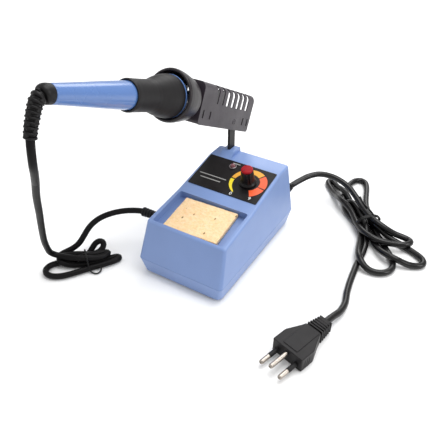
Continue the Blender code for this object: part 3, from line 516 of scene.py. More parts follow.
def all_looks():
    return {
        "blue_shell": make_blue_shell(),
        "blue_handle": make_blue_handle(),
        "black_label": make_label(),
        "white_ink": make_ink("white_ink", (0.80, 0.80, 0.78)),
        "grey_ink": make_ink("grey_ink", (0.36, 0.36, 0.35)),
        "yellow_ink": make_ink("yellow_ink", (0.80, 0.64, 0.012)),
        "amber_ink": make_ink("amber_ink", (0.72, 0.34, 0.022)),
        "orange_ink": make_ink("orange_ink", (0.76, 0.096, 0.020)),
        "black_sheet": make_powder_coat(),
        "black_bakelite": make_bakelite(),
        "black_knob": make_black("knob_plastic", 0.008, 0.26, 0.38, 0.00002, 1500.0),
        "black_grip": make_black("grip_rubber", 0.010, 0.42, 0.56, 0.00005, 1600.0),
        "black_boot": make_black("boot_rubber", 0.007, 0.38, 0.5, 0.00005, 1400.0),
        "cord_jacket": make_black("cord_jacket", 0.0045, 0.2, 0.3, 0.00004, 700.0, 0.36),
        "iron_jacket": make_black("iron_jacket", 0.007, 0.34, 0.46, 0.00004, 700.0, 0.1),
        "black_strip": make_black("strip_lacquer", 0.008, 0.34, 0.46, 0.00004, 900.0, 0.18),
        "plug_black": make_black("plug_plastic", 0.013, 0.4, 0.52, 0.00006, 1500.0),
        "tie_paper": make_black("tie_plastic", 0.005, 0.3, 0.4, 0.00002, 900.0),
        "foot_rubber": make_black("foot_rubber", 0.03, 0.7, 0.85, 0.00006, 900.0),
        "device_black": make_black("device_plastic", 0.02, 0.4, 0.5, 0.00003, 1200.0),
        "red_cap": moulded("red_cap", (0.30, 0.005, 0.010), 0.34, 0.44, 0.00001, 1200.0).set(
            Specular_IOR_Level=0.15).material,
        "capacitor_red": moulded("capacitor_film", (0.55, 0.06, 0.04), 0.3, 0.4).material,
        "terminal_green": moulded("terminal_green", (0.03, 0.20, 0.08), 0.4, 0.5).material,
        "ceramic_core": moulded(
            "heater_ceramic", (0.80, 0.78, 0.72), 0.6, 0.75, 0.00005, 700.0).material,
        "bright_steel": metal("bright_steel", (0.62, 0.62, 0.64), 0.22, 0.36).material,
        # Dark steel for the parts inside the mouth ring: painted shade where the steel sits in the
        # ring's shadow, not a finish of the parts.
        "painted_shade_steel": metal("painted_shade_steel", (0.10, 0.10, 0.11), 0.3, 0.45).material,
        "iron_bit": metal("iron_bit", (0.52, 0.47, 0.42), 0.28, 0.45).material,
        "ballast_steel": metal("ballast_steel", (0.34, 0.34, 0.35), 0.45, 0.6).material,
        "plug_pins": metal(
            "brass_pins", (0.40, 0.36, 0.32), 0.26, 0.38, (400.0, 60.0, 400.0)).material,
        "lamp_bezel": metal("lamp_bezel", (0.30, 0.27, 0.28), 0.25, 0.4).material,
        "lamp_lens": make_lens(),
        "sponge": make_sponge(),
        "board_green": make_board(),
        "copper_coil": make_winding(),
        "fuse_glass": moulded("fuse_glass", (0.7, 0.74, 0.74), 0.05, 0.12).set(
            Transmission_Weight=0.7).material,
        "bench": make_floor(),
    }


# --- mesh helpers ----------------------------------------------------------------------
def frame_at(point, z_axis, x_axis=(1, 0, 0)):
    """A frame at a point with a given Z direction, its X as near as can be to x_axis."""
    z = Vector(z_axis).normalized()
    y = z.cross(Vector(x_axis)).normalized()
    return axes(y.cross(z), y, z, Vector(point))


def side_view():
    """A frame whose X and Y are the station's Y and Z, for outlines drawn from the side."""
    return frame_at((0, 0, 0), (1, 0, 0), (0, 1, 0))


def placed(bm, place):
    bmesh.ops.transform(bm, matrix=place, verts=bm.verts)
    return bm


def object_of(name, bm):
    bmesh.ops.remove_doubles(bm, verts=bm.verts, dist=0.0005)
    bmesh.ops.recalc_face_normals(bm, faces=bm.faces)
    bmesh.ops.scale(bm, verts=bm.verts, vec=(MM, MM, MM))
    bmesh.ops.translate(bm, verts=bm.verts, vec=ORIGIN)
    mesh = bpy.data.meshes.new(name)
    bm.to_mesh(mesh)
    bm.free()
    return linked(name, mesh)


def shade(made, sharp=38.0):
    mesh = made.data
    mesh.polygons.foreach_set("use_smooth", [True] * len(mesh.polygons))
    mesh.set_sharp_from_angle(angle=math.radians(sharp))
    step = made.modifiers.new("Even shading", "WEIGHTED_NORMAL")
    step.keep_sharp = True
    return made


def settle_modifiers(made):
    graph = bpy.context.evaluated_depsgraph_get()
    mesh = bpy.data.meshes.new_from_object(made.evaluated_get(graph))
    made.modifiers.clear()
    made.data = mesh


def dress(made, slot, body, replaced=(), look=None):
    """Gives a piece the material of its slot, or of another look when one is named, and makes it
    ride on its body.
    """
    made.data.materials.clear()
    made.data.materials.append(LOOKS[look or slot])
    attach(made, body)
    if replaced:
        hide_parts(*replaced)
    return made


def piece(name, bm, slot, body, replaced=(), look=None, sharp=38.0):
    made = shade(object_of(name, bm), sharp)
    settle_modifiers(made)
    return dress(made, slot, body, replaced, look)


def fillet(points, radius, steps=3, closed=True):
    """Rounds the corners of a line of 2D points, as far as its stretches leave room."""
    out = []
    count = len(points)
    for i, point in enumerate(points):
        here = Vector(point)
        if not closed and i in (0, count - 1):
            out.append(tuple(here))
            continue
        before = Vector(points[i - 1]) - here
        after = Vector(points[(i + 1) % count]) - here
        reach = min(radius, before.length * 0.45, after.length * 0.45)
        start = here + before.normalized() * reach
        end = here + after.normalized() * reach
        for k in range(steps + 1):
            t = k / steps
            out.append(tuple(start.lerp(here, t).lerp(here.lerp(end, t), t)))
    return out


def lathe(profile, place, steps=72, rounding=0.25):
    """Turns (radius, height) points about a frame's Z; profiles from the axis stay open."""
    on_axis = profile[0][0] < 0.001
    outline = fillet(profile, rounding, 3, not on_axis)
    bm = bmesh.new()
    points = [bm.verts.new((r, 0.0, h)) for r, h in outline]
    pairs = list(zip(points, points[1:]))
    if not on_axis:
        pairs.append((points[-1], points[0]))
    edges = [bm.edges.new(p) for p in pairs]
    bmesh.ops.spin(
        bm, geom=points + edges, cent=(0, 0, 0), axis=(0, 0, 1), angle=2 * math.pi,
        steps=steps, use_merge=True,
    )
    bmesh.ops.remove_doubles(bm, verts=bm.verts, dist=0.0005)
    return placed(bm, place)


def add_box(bm, low, high, place=None):
    low, high = Vector(low), Vector(high)
    size = Matrix.Translation((low + high) / 2) @ Matrix.Diagonal((*(high - low), 1.0))
    made = bmesh.ops.create_cube(bm, size=1.0, matrix=place @ size if place else size)
    return made["verts"]


def block(low, high, place=None):
    bm = bmesh.new()
    add_box(bm, low, high, place)
    return bm


def soft_box(low, high, place, rounding, segments=3):
    bm = block(low, high)
    bmesh.ops.bevel(
        bm, geom=bm.edges[:], offset=rounding, segments=segments, profile=0.5, affect="EDGES"
    )
    return placed(bm, place)


def rounded_rectangle(x0, x1, y0, y1, radius, segments=8):
    out = []
    corners = ((x1, y1, 0), (x0, y1, 90), (x0, y0, 180), (x1, y0, 270))
    for x, y, start in corners:
        cx = x - math.copysign(radius, x - (x0 + x1) / 2)
        cy = y - math.copysign(radius, y - (y0 + y1) / 2)
        for i in range(segments + 1):
            a = math.radians(start + 90 * i / segments)
            out.append((cx + radius * math.cos(a), cy + radius * math.sin(a)))
    return out


def prism(points, low, high, place=None):
    bm = bmesh.new()
    face = bm.faces.new([bm.verts.new((x, y, low)) for x, y in points])
    moved = bmesh.ops.extrude_face_region(bm, geom=[face])
    lifted = [v for v in moved["geom"] if isinstance(v, bmesh.types.BMVert)]
    bmesh.ops.translate(bm, verts=lifted, vec=(0, 0, high - low))
    bmesh.ops.recalc_face_normals(bm, faces=bm.faces)
    return bm if place is None else placed(bm, place)


def rim_bevel(bm, width, segments, wanted):
    edges = [e for e in bm.edges if wanted(e)]
    bmesh.ops.bevel(
        bm, geom=edges, offset=width, segments=segments, profile=0.5, affect="EDGES",
        clamp_overlap=True,
    )


def along(edge):
    a, b = edge.verts
    return (b.co - a.co).normalized()


def sweep(points, radii, sides=20, squash=1.0):
    """A closed round bar along a line of points, its rings carried without twist."""
    points = [Vector(p) for p in points]
    count = len(points)
    radii = [radii] * count if isinstance(radii, (int, float)) else radii
    bm = bmesh.new()
    rings = []
    side = None
    for i, point in enumerate(points):
        ahead = (points[min(i + 1, count - 1)] - points[max(i - 1, 0)]).normalized()
        if side is None:
            side = ahead.orthogonal().normalized()
        side = (side - ahead * side.dot(ahead)).normalized()
        other = ahead.cross(side)
        ring = []
        for k in range(sides):
            a = 2 * math.pi * k / sides
            step = side * math.cos(a) * squash + other * math.sin(a)
            ring.append(bm.verts.new(point + step * radii[i]))
        rings.append(ring)
    for lower, upper in zip(rings, rings[1:]):
        for k in range(sides):
            m = (k + 1) % sides
            bm.faces.new((lower[k], lower[m], upper[m], upper[k]))
    bm.faces.new(rings[0][::-1])
    bm.faces.new(rings[-1])
    return bm


def smooth_route(points, spacing):
    """Evenly spaced points on a centripetal Catmull-Rom curve through the route points."""
    pts = [Vector(p) for p in points]
    pts = [2 * pts[0] - pts[1]] + pts + [2 * pts[-1] - pts[-2]]
    dense = []
    for a, b, c, d in zip(pts, pts[1:], pts[2:], pts[3:]):
        tb = (b - a).length ** 0.5
        tc = tb + (c - b).length ** 0.5
        td = tc + (d - c).length ** 0.5
        for j in range(24):
            t = tb + (tc - tb) * j / 24
            ab = a.lerp(b, t / tb)
            bc = b.lerp(c, (t - tb) / (tc - tb))
            cd = c.lerp(d, (t - tc) / (td - tc))
            first = ab.lerp(bc, t / tc)
            second = bc.lerp(cd, (t - tb) / (td - tb))
            dense.append(first.lerp(second, (t - tb) / (tc - tb)))
    dense.append(pts[-2])
    return even(dense, spacing)


def even(dense, spacing):
    length = sum((b - a).length for a, b in zip(dense, dense[1:]))
    count = max(2, round(length / spacing))
    out, walked, k = [dense[0]], 0.0, 1
    for a, b in zip(dense, dense[1:]):
        step = (b - a).length
        while k < count and walked + step >= length * k / count:
            out.append(a.lerp(b, (length * k / count - walked) / step))
            k += 1
        walked += step
    out.append(dense[-1])
    return out


def line_length(points):
    return sum((b - a).length for a, b in zip(points, points[1:]))


class Carver:
    """A body that booleans add to and cut from; the tools go when it is done."""

    def __init__(self, name, bm):
        self.body = object_of(name, bm)
        self.tools = []

    def step(self, bm, operation):
        tool = object_of("tool", bm)
        modifier = self.body.modifiers.new("step", "BOOLEAN")
        modifier.operation = operation
        modifier.solver = "EXACT"
        modifier.object = tool
        self.tools.append(tool)
        return modifier

    def cut(self, *meshes):
        for bm in meshes:
            self.step(bm, "DIFFERENCE")

    def join(self, *meshes):
        for bm in meshes:
            self.step(bm, "UNION")

    def done(self, rounding, sharp=38.0, segments=3):
        weld = self.body.modifiers.new("Weld", "WELD")
        weld.merge_threshold = 0.00002
        if rounding:
            bevel = self.body.modifiers.new("Edges", "BEVEL")
            bevel.width = rounding * MM
            bevel.segments = segments
            bevel.limit_method = "ANGLE"
            bevel.angle_limit = math.radians(40)
            bevel.use_clamp_overlap = True
            bevel.miter_outer = "MITER_ARC"
        settle_modifiers(self.body)
        for tool in self.tools:
            bpy.data.objects.remove(tool)
        shade(self.body, sharp)
        settle_modifiers(self.body)
        return self.body


# --- shapes of the housing -------------------------------------------------------------
def half_width(z):
    return HALF_WIDTH - SIDE_DRAFT * (z - BELT_Z)


def front_y(z):
    return FRONT_DRAFT * (z - BELT_Z)


def rear_y(z):
    return DEPTH - REAR_DRAFT * (z - BELT_Z)


def rim_z(y):
    return RIM_Z + RIM_SLOPE * (y - RIM_Y)


def panel_z(y):
    return rim_z(BREAK_Y) + PANEL_SLOPE * (y - BREAK_Y)


def panel_frame(x, y):
    return frame_at((x, y, panel_z(y)), (0.0, -PANEL_SLOPE, 1.0))


def tray_frame():
    y = sum(TRAY_Y) / 2
    return frame_at((0, y, rim_z(y)), (0.0, -RIM_SLOPE, 1.0))


def shell_mesh(inset, bottom, corner):
    """The upper shell's outer form, or its cavity when inset is the wall's thickness."""
    top_end = panel_z(PANEL_END_Y)
    profile = [
        (front_y(bottom) + inset, bottom),
        (RIM_Y + inset * 0.8, RIM_Z - inset),
        (BREAK_Y, rim_z(BREAK_Y) - inset),
        (PANEL_END_Y, top_end - inset),
        (rear_y(top_end) - inset, top_end - inset),
        (rear_y(bottom) - inset, bottom),
    ]
    bm = bmesh.new()
    sides = []
    for sign in (-1, 1):
        sides.append([bm.verts.new((sign * (half_width(z) - inset), y, z)) for y, z in profile])
    bm.faces.new(sides[0])
    bm.faces.new(sides[1][::-1])
    for i in range(len(profile)):
        j = (i + 1) % len(profile)
        bm.faces.new((sides[0][i], sides[1][i], sides[1][j], sides[0][j]))
    bmesh.ops.recalc_face_normals(bm, faces=bm.faces)
    fine = inset == 0.0
    rim_bevel(bm, corner, 10 if fine else 4, lambda e: abs(along(e).z) > 0.8)
    if fine:
        bmesh.ops.recalc_face_normals(bm, faces=bm.faces)
        rim_bevel(bm, TOP_RADIUS, 5, is_top_edge)
    return bm


def is_top_edge(edge):
    ups = sorted(f.normal.z for f in edge.link_faces)
    return len(ups) == 2 and ups[1] > 0.9 and -0.2 < ups[0] < 0.8


def tray_box(extra, low, high, radius):
    half_y = (TRAY_Y[1] - TRAY_Y[0]) / 2 + extra
    ring = rounded_rectangle(-TRAY_X - extra, TRAY_X + extra, -half_y, half_y, radius, 6)
    return prism(ring, low, high, tray_frame())


def bore(radius, low, high, place, steps=32):
    return lathe(((0, low), (radius, low), (radius, high), (0, high)), place, steps, 0.0)


def upright(x, y):
    return Matrix.Translation((x, y, 0.0))


def post_screw_frame():
    """At the left wall of the socket, Z along the screw that holds the post."""
    return frame_at((-30.0, PIVOT[0], 65.5), (1, 0, 0), (0, 1, 0))


def panel_holes(low):
    """Cutters for the knob's shaft and the lamp, from a depth under the panel."""
    return [
        bore(radius, low, 6, panel_frame(*spot)) for radius, spot in ((4.5, DIAL), (2.8, LAMP))
    ]


def socket_mesh():
    """The wedge-shaped socket at the left rear of the top."""
    low = panel_z(PANEL_END_Y) - 1.5
    profile = [
        (114.8, low), (122.6, SOCKET_TOP_Z), (rear_y(SOCKET_TOP_Z), SOCKET_TOP_Z),
        (rear_y(low), low),
    ]
    bm = prism(profile, *SOCKET_X, side_view())
    rim_bevel(bm, 1.3, 4, lambda e: min(v.co.z for v in e.verts) > low + 1.0)
    return bm


def mains_frame():
    x, z = MAINS_GLAND
    return frame_at((x, rear_y(z), z), (0, 1, 0))


def gland_frame():
    y, z = IRON_GLAND
    return frame_at((-half_width(z), y, z), (-1, -0.06, 0.02), (0, 1, 0))


def upper_shell():
    floor_z = BELT_Z + GAP / 2
    shell = Carver("upper_shell", shell_mesh(0.0, floor_z, CORNER_RADIUS))
    shell.cut(shell_mesh(WALL, floor_z - 1.0, 3.0))
    shell.join(tray_box(WALL, -TRAY_DEPTH - WALL, -0.6, 3.0))
    for x, y in SCREW_PLACES:
        top = (rim_z(y) - 9.0) if y < BREAK_Y else panel_z(y) - 1.0
        shell.join(bore(3.8, floor_z, top, upright(x, y), 24))
    shell.join(socket_mesh())
    shell.join(block(*SOCKET_ROOT))
    shell.cut(tray_box(0.0, -TRAY_DEPTH, 4.0, 2.5))
    for x, y in SCREW_PLACES:
        shell.cut(bore(1.7, 10.0, 27.0, upright(x, y), 16))
    shell.cut(block(
        (POST_X[0] - GAP, POST_Y[0] - GAP, POST_FOOT_Z - GAP),
        (POST_X[1] + GAP, POST_Y[1] + GAP, 90.0),
    ))
    shell.cut(bore(POST_SCREW_HOLE, 3.5, 16.0, post_screw_frame(), 16))
    shell.cut(*panel_holes(-9))
    shell.cut(bore(4.4, -8, 8, mains_frame()), bore(3.9, -8, 8, gland_frame()))
    dress(shell.done(0.45), "blue_shell", "station", ["upper_housing"])


def base_ring(inset):
    """The housing's outline at the bench, moved in by a distance."""
    x, y0, y1, r = BASE_HALF_WIDTH, BASE_FRONT_Y, BASE_REAR_Y, BASE_RADIUS
    return rounded_rectangle(inset - x, x - inset, y0 + inset, y1 - inset, r - inset)


def belt_ring(inset, radius):
    """The housing's outline where its two halves meet, moved in by a distance."""
    return rounded_rectangle(inset - HALF_WIDTH, HALF_WIDTH - inset, inset, DEPTH - inset, radius)


def lower_shell():
    top = BELT_Z - GAP / 2
    rings = [
        (base_ring(2.4), BASE_Z),
        (base_ring(1.1), BASE_Z + 0.2),
        (base_ring(0.3), BASE_Z + 0.7),
        (base_ring(0.0), BASE_Z + 1.6),
        (belt_ring(0.2, CORNER_RADIUS), top - 0.9),
        (belt_ring(0.0, CORNER_RADIUS), top - 0.25),
        (belt_ring(0.25, CORNER_RADIUS - 0.25), top),
        (belt_ring(WALL, CORNER_RADIUS - WALL), top),
        (base_ring(WALL), BASE_Z + WALL),
    ]
    bm = bmesh.new()
    loops = [[bm.verts.new((px, py, z)) for px, py in ring] for ring, z in rings]
    for lower, upper in zip(loops, loops[1:]):
        for i in range(len(lower)):
            j = (i + 1) % len(lower)
            bm.faces.new((lower[i], lower[j], upper[j], upper[i]))
    bm.faces.new(loops[0])
    bm.faces.new(loops[-1])
    bmesh.ops.recalc_face_normals(bm, faces=bm.faces)
    shell = Carver("lower_shell", bm)
    for px, py in SCREW_PLACES:
        shell.join(bore(4.6, 2.6, top, upright(px, py), 24))
        hole = ((0, 0.0), (3.1, 0.0), (3.1, 4.4), (1.7, 4.4), (1.7, 20.0), (0, 20.0))
        shell.cut(lathe(hole, upright(px, py), 24, 0.0))
    shell.cut(*vent_slots())
    dress(shell.done(0.0), "blue_shell", "station", ["lower_housing"])


def vent_slots():
    """Two short rows of vents under the housing."""
    return [
        block((x - 5.5, y, 0.0), (x + 5.5, y + 1.3, 3.4))
        for x in (-8.0, 8.0) for y in (118.0 + 2.9 * i for i in range(6))
    ]


def cross_screw(name, node, place, head, shank):
    """A pan-head screw with a cross recess, its head at the frame's origin facing -Z."""
    head_radius, head_height = head
    shank_radius, length = shank
    shape = (
        (0, 0), (head_radius * 0.8, 0), (head_radius, head_height * 0.45),
        (head_radius, head_height), (shank_radius, head_height), (shank_radius, length - 1.5),
        (0.3, length), (0, length),
    )
    screw = Carver(name, lathe(shape, place, 40, 0.3))
    for turn in (0, 90):
        spun = place @ Matrix.Rotation(math.radians(turn), 4, "Z")
        reach = head_radius * 0.6
        screw.cut(block((-reach, -0.35, -1), (reach, 0.35, head_height * 0.6), spun))
    return dress(screw.done(0.0), "bright_steel", "station", [node])


def housing_fasteners():
    for i, (x, y) in enumerate(SCREW_PLACES):
        place = Matrix.Translation((x, y, 2.1))
        cross_screw(f"case_screw_{i + 1}", f"housing_screw_{i + 1}", place, (2.8, 2.0), (1.4, 22.5))
    for i, (x, y) in enumerate(FOOT_PLACES):
        shape = (
            (0, 0.25), (2.2, 0.25), (2.5, 0), (5.2, 0), (5.8, 0.5), (5.6, 1.3), (0, 1.3),
        )
        bm = lathe(shape, upright(x, y), 48, 0.2)
        piece(f"rubber_foot_{i + 1}", bm, "foot_rubber", "station", [f"foot_{i + 1}"])


# --- label, dial and lamp --------------------------------------------------------------
DIAL_SEGMENTS = (
    ("yellow_ink", 246.0, 182.0), ("amber_ink", 177.0, 119.0), ("amber_ink", 114.5, 57.0),
    ("orange_ink", 52.5, -5.0), ("orange_ink", -9.5, -59.0),
)
INK_Z = (0.6, 0.66)
NUMERAL_SIZE = 5.2
# Plain rules where a label has lettering: name, place on the panel, width.
RULES = (
    ("label_rule_1", -18.2, 88.0, 29.0), ("label_rule_2", -18.5, 83.4, 22.0),
    ("lamp_rule", -5.4, 111.3, 8.0),
)


def label():
    length = (LABEL_Y[1] - LABEL_Y[0]) * math.hypot(1.0, PANEL_SLOPE)
    ring = rounded_rectangle(-LABEL_X, LABEL_X, 0, length, 1.2, 6)
    film = Carver("label_film", prism(ring, 0.1, 0.6, panel_frame(0, LABEL_Y[0])))
    film.cut(*panel_holes(-1))
    dress(film.done(0.08), "black_label", "station", ["panel_label"])


def band_width(angle):
    """The dial's band grows from nothing at the low end to its full width at the high end."""
    first, last = DIAL_SEGMENTS[0][1], DIAL_SEGMENTS[-1][2]
    return 0.25 + (DIAL_WIDTH - 0.25) * ((first - angle) / (first - last)) ** 0.48


def dial_segment(name, look, start, end):
    steps = 24
    rim, hub = [], []
    for i in range(steps + 1):
        angle = start + (end - start) * i / steps
        a = math.radians(angle)
        inner = DIAL_RADIUS - band_width(angle)
        rim.append((DIAL_RADIUS * math.cos(a), DIAL_RADIUS * math.sin(a)))
        hub.append((inner * math.cos(a), inner * math.sin(a)))
    bm = prism(rim + hub[::-1], *INK_Z, panel_frame(*DIAL))
    piece(name, bm, "black_label", "station", look=look)


def dial():
    for i, (look, start, end) in enumerate(DIAL_SEGMENTS):
        dial_segment(f"dial_band_{i + 1}", look, start, end)
    low, high = DIAL_SEGMENTS[0][1], DIAL_SEGMENTS[-1][2]
    for digit, angle in ((0, low), (9, high)):
        numeral(f"dial_number_{digit}", str(digit), angle)
    for name, x, y, width in RULES:
        bar = rounded_rectangle(-width / 2, width / 2, -0.45, 0.45, 0.4, 4)
        bm = prism(bar, *INK_Z, panel_frame(x, y))
        piece(name, bm, "black_label", "station", look="grey_ink")


def numeral(name, text, angle):
    """A plain dial number, lying on the label outside the bands."""
    curve = bpy.data.curves.new(name, "FONT")
    curve.body = text
    curve.size = NUMERAL_SIZE * MM
    curve.align_x = "CENTER"
    curve.align_y = "CENTER"
    curve.extrude = 0.03 * MM
    made = linked(name, curve)
    a = math.radians(angle)
    reach = DIAL_RADIUS + 2.6
    place = panel_frame(*DIAL) @ Vector((reach * math.cos(a), reach * math.sin(a), 0.64))
    graph = bpy.context.evaluated_depsgraph_get()
    mesh = bpy.data.meshes.new_from_object(made.evaluated_get(graph))
    bpy.data.objects.remove(made)
    turn = panel_frame(0, 0).to_3x3().to_4x4()
    mesh.transform(Matrix.Translation(row(*place)) @ turn)
    dress(linked(name, mesh), "black_label", "station", look="white_ink")


def lamp():
    place = panel_frame(*LAMP)
    lens = (
        (0, -6.0), (2.45, -6.0), (2.45, 1.6), (2.35, 2.3), (2.0, 3.0), (1.6, 3.5), (1.1, 3.9),
        (0.5, 4.15), (0, 4.2),
    )
    piece("lamp_lens", lathe(lens, place, 48, 0.3), "lamp_lens", "station", ["lamp"])
    ring = ((2.8, 0.9), (3.6, 0.9), (3.6, 1.4), (3.3, 1.7), (2.8, 1.7))
    piece("lamp_ring", lathe(ring, place, 48, 0.3), "lamp_bezel", "station", ["lamp_bezel"])


KNOB_FLUTES = 18


def knob():
    """A fluted knob with a red cap, whose line points at the dial's low end."""
    place = panel_frame(*DIAL)
    skirt = ((6.2, 1.2), (8.1, 1.2), (8.1, 2.4), (7.6, 3.1), (6.9, 3.8), (6.5, 4.8), (6.2, 4.8))
    body = ((3.3, 4.4), (6.5, 4.4), (6.4, 5.0), (5.8, 15.4), (5.4, 16.0), (3.3, 16.0))
    knob_body = Carver("knob_body", lathe(body, place, 96, 0.35))
    knob_body.join(lathe(skirt, place, 96, 0.3))
    for i in range(KNOB_FLUTES):
        a = 2 * math.pi * i / KNOB_FLUTES
        lean = Matrix.Rotation(a, 4, "Z") @ Matrix.Translation((6.75, 0, 10.6))
        tilt = Matrix.Rotation(math.radians(-3.3), 4, "Y")
        bm = bmesh.new()
        bmesh.ops.create_cone(
            bm, cap_ends=True, segments=12, radius1=0.72, radius2=0.72, depth=12.0,
            matrix=place @ lean @ tilt,
        )
        knob_body.cut(bm)
    dress(knob_body.done(0.12, segments=2), "black_knob", "knob", ["knob"])
    cap = ((0, 16.3), (5.5, 16.3), (5.5, 17.6), (5.2, 18.2), (4.4, 18.5), (0, 18.6))
    piece("knob_top", lathe(cap, place, 64, 0.3), "red_cap", "knob", ["knob_cap"])
    low_end = place @ Matrix.Rotation(math.radians(DIAL_SEGMENTS[0][1] - 90.0), 4, "Z")
    line = soft_box((-0.3, 1.8, 18.5), (0.3, 4.6, 18.6), low_end, 0.04, 1)
    piece("knob_line", line, "red_cap", "knob", look="black_knob")


# --- sponge ----------------------------------------------------------------------------
def sponge():
    """A dry cellulose pad: torn edges, a slightly swollen top and small open pores."""
    x, y, z = SPONGE_SIZE
    middle = (0, SPONGE_CENTRE_Y - sum(TRAY_Y) / 2, -TRAY_DEPTH + SPONGE_LIFT)
    place = tray_frame() @ Matrix.Translation(middle) @ Matrix.Rotation(SPONGE_TURN, 4, "Z")
    bm = block((-x / 2, -y / 2, 0), (x / 2, y / 2, z))
    bmesh.ops.bevel(bm, geom=bm.edges[:], offset=0.5, segments=2, profile=0.5, affect="EDGES")
    for cuts in (5, 9):
        edges = [e for e in bm.edges if e.calc_length() > 3.0]
        bmesh.ops.subdivide_edges(bm, edges=edges, cuts=cuts, use_grid_fill=True)
    for vert in bm.verts:
        p = vert.co
        edge = noise.noise(Vector((p.x, p.y, 0.0)) * 0.16) * 0.5 + noise.noise(p * 0.7) * 0.35
        top = max(0.0, p.z / z)
        reach = max(abs(p.x) / (x / 2), abs(p.y) / (y / 2)) ** 8
        p.x += math.copysign(edge * reach, p.x)
        p.y += math.copysign(edge * reach, p.y)
        pits = min(0.0, noise.noise(p * 0.9) + 0.25) * 0.8
        p.z += top * (0.12 * noise.noise(p * 0.12) + 0.3 * pits - 0.25 * reach)
    pad = piece("cellulose_sponge", placed(bm, place), "sponge", "sponge", ["sponge"], sharp=80.0)


# --- post and holder -------------------------------------------------------------------
def pivot_frame():
    return frame_at((HOLDER_NEAR_X, *PIVOT), (1, 0, 0), (0, 1, 0))


def holder_post():
    y, top = PIVOT
    radius = 5.3
    ring = [(POST_Y[0], POST_FOOT_Z), (POST_Y[1], POST_FOOT_Z)]
    for i in range(17):
        a = math.pi * i / 16
        ring.append((y + radius * math.cos(a), top + radius * math.sin(a)))
    strip = Carver("post_strip", prism(ring, *POST_X, side_view()))
    strip.cut(bore(1.8, -6, 2, pivot_frame(), 24))
    strip.cut(bore(POST_SCREW_HOLE, 3, 12, post_screw_frame(), 24))
    dress(strip.done(0.25), "black_sheet", "station", ["holder_post"], look="black_strip")


def holder_frame():
    """At the mouth's lower near corner: X along the holder, Y across it, Z up its wall."""
    forward = Vector((0, math.cos(HOLDER_PITCH), -math.sin(HOLDER_PITCH)))
    up = Vector((0, math.sin(HOLDER_PITCH), math.cos(HOLDER_PITCH)))
    return axes(forward, Vector((-1, 0, 0)), up, (HOLDER_NEAR_X, *HOLDER_MOUTH))


def folded_section(start, end, inset, bottom):
    """The holder's round-topped section, as a solid from start to end along it."""
    wide, tall = HOLDER_WIDTH - inset, HOLDER_HEIGHT - inset
    radius = FOLD_RADIUS - inset
    ring = [(inset, bottom)]
    for centre, first in ((inset + radius, 180), (wide - radius, 90)):
        for i in range(13):
            a = math.radians(first - 7.5 * i)
            ring.append((centre + radius * math.cos(a), tall - radius + radius * math.sin(a)))
    ring.append((wide, bottom))
    spun = Matrix(((0, 0, 1, 0), (1, 0, 0, 0), (0, 1, 0, 0), (0, 0, 0, 1)))
    return prism(ring, start, end, spun)


def holder_channel():
    bm = folded_section(0.0, HOLDER_LENGTH, 0.0, 0.0)
    rim_bevel(bm, 3.2, 6, lambda e: abs(along(e).y) > 0.99 and all(v.co.z < 0.01 for v in e.verts))
    place = holder_frame()
    sheet = Carver("channel_sheet", placed(bm, place))
    sheet.cut(placed(folded_section(SHEET, HOLDER_LENGTH + 5.0, SHEET, -5.0), place))
    slots = bmesh.new()
    for i in range(SLOTS["count"]):
        t = SLOTS["first"] + SLOTS["pitch"] * i
        half = SLOTS["width"] / 2
        for low, high in ((-2.0, 11.0), (HOLDER_WIDTH - 11.0, HOLDER_WIDTH + 2.0)):
            add_box(slots, (t - half, low, SLOTS["bottom"]), (t + half, high, 45.0))
    for t in TAB_SLOTS:
        add_box(slots, (t - 1.2, -2.0, 6.0), (t + 1.2, 2.0, 13.0))
    sheet.cut(placed(slots, place))
    sheet.cut(bore(13.9, -3, 3, ring_frame(), 64), bore(2.7, -6, 2, pivot_frame(), 24))
    dress(sheet.done(0.22, segments=2), "black_sheet", "holder", ["holder_channel"])
    # Thin tabs just behind the tab slots, in the knob's darker black rather than the sheet's powder
    # coat: tabs of an inner bracket, with painted shade in the slots.
    tabs = bmesh.new()
    for t in TAB_SLOTS:
        add_box(tabs, (t - 1.17, 0.5, 6.03), (t + 1.17, 0.95, 12.97))
    piece("slot_tabs_in_painted_shade", placed(tabs, place), "black_sheet", "holder", look="black_knob")


def ring_frame():
    middle = holder_frame() @ Vector((0.0, HOLDER_WIDTH / 2, HOLDER_HEIGHT / 2))
    return frame_at(middle, (0, -math.cos(HOLDER_PITCH), math.sin(HOLDER_PITCH)))


def holder_ring():
    shape = (
        (11.8, -3.6), (13.6, -3.6), (13.6, 0.3), (15.4, 0.3), (15.4, 5.4), (18.2, 6.2), (18.7, 7.2),
        (19.4, 11.0), (20.3, 15.0), (21.0, 19.0), (21.6, 23.0), (21.8, 25.5), (21.9, 27.4),
        (21.5, 28.5), (20.7, 29.1), (19.9, 29.1), (19.3, 28.6), (19.1, 27.0), (18.9, 24.0),
        (15.2, 16.0), (12.6, 8.0), (11.8, 2.0),
    )
    ring = lathe(shape, ring_frame(), 128, 0.4)
    piece("mouth_ring", ring, "black_bakelite", "holder", ["holder_ring"])
    clip = ((13.9, -2.6), (14.6, -2.6), (14.6, -1.4), (13.9, -1.4))
    # The clip takes the dark steel: painted shade inside the mouth ring.
    piece(
        "spring_clip", lathe(clip, ring_frame(), 64, 0.1), "bright_steel", "holder", ["ring_clip"],
        look="painted_shade_steel",
    )


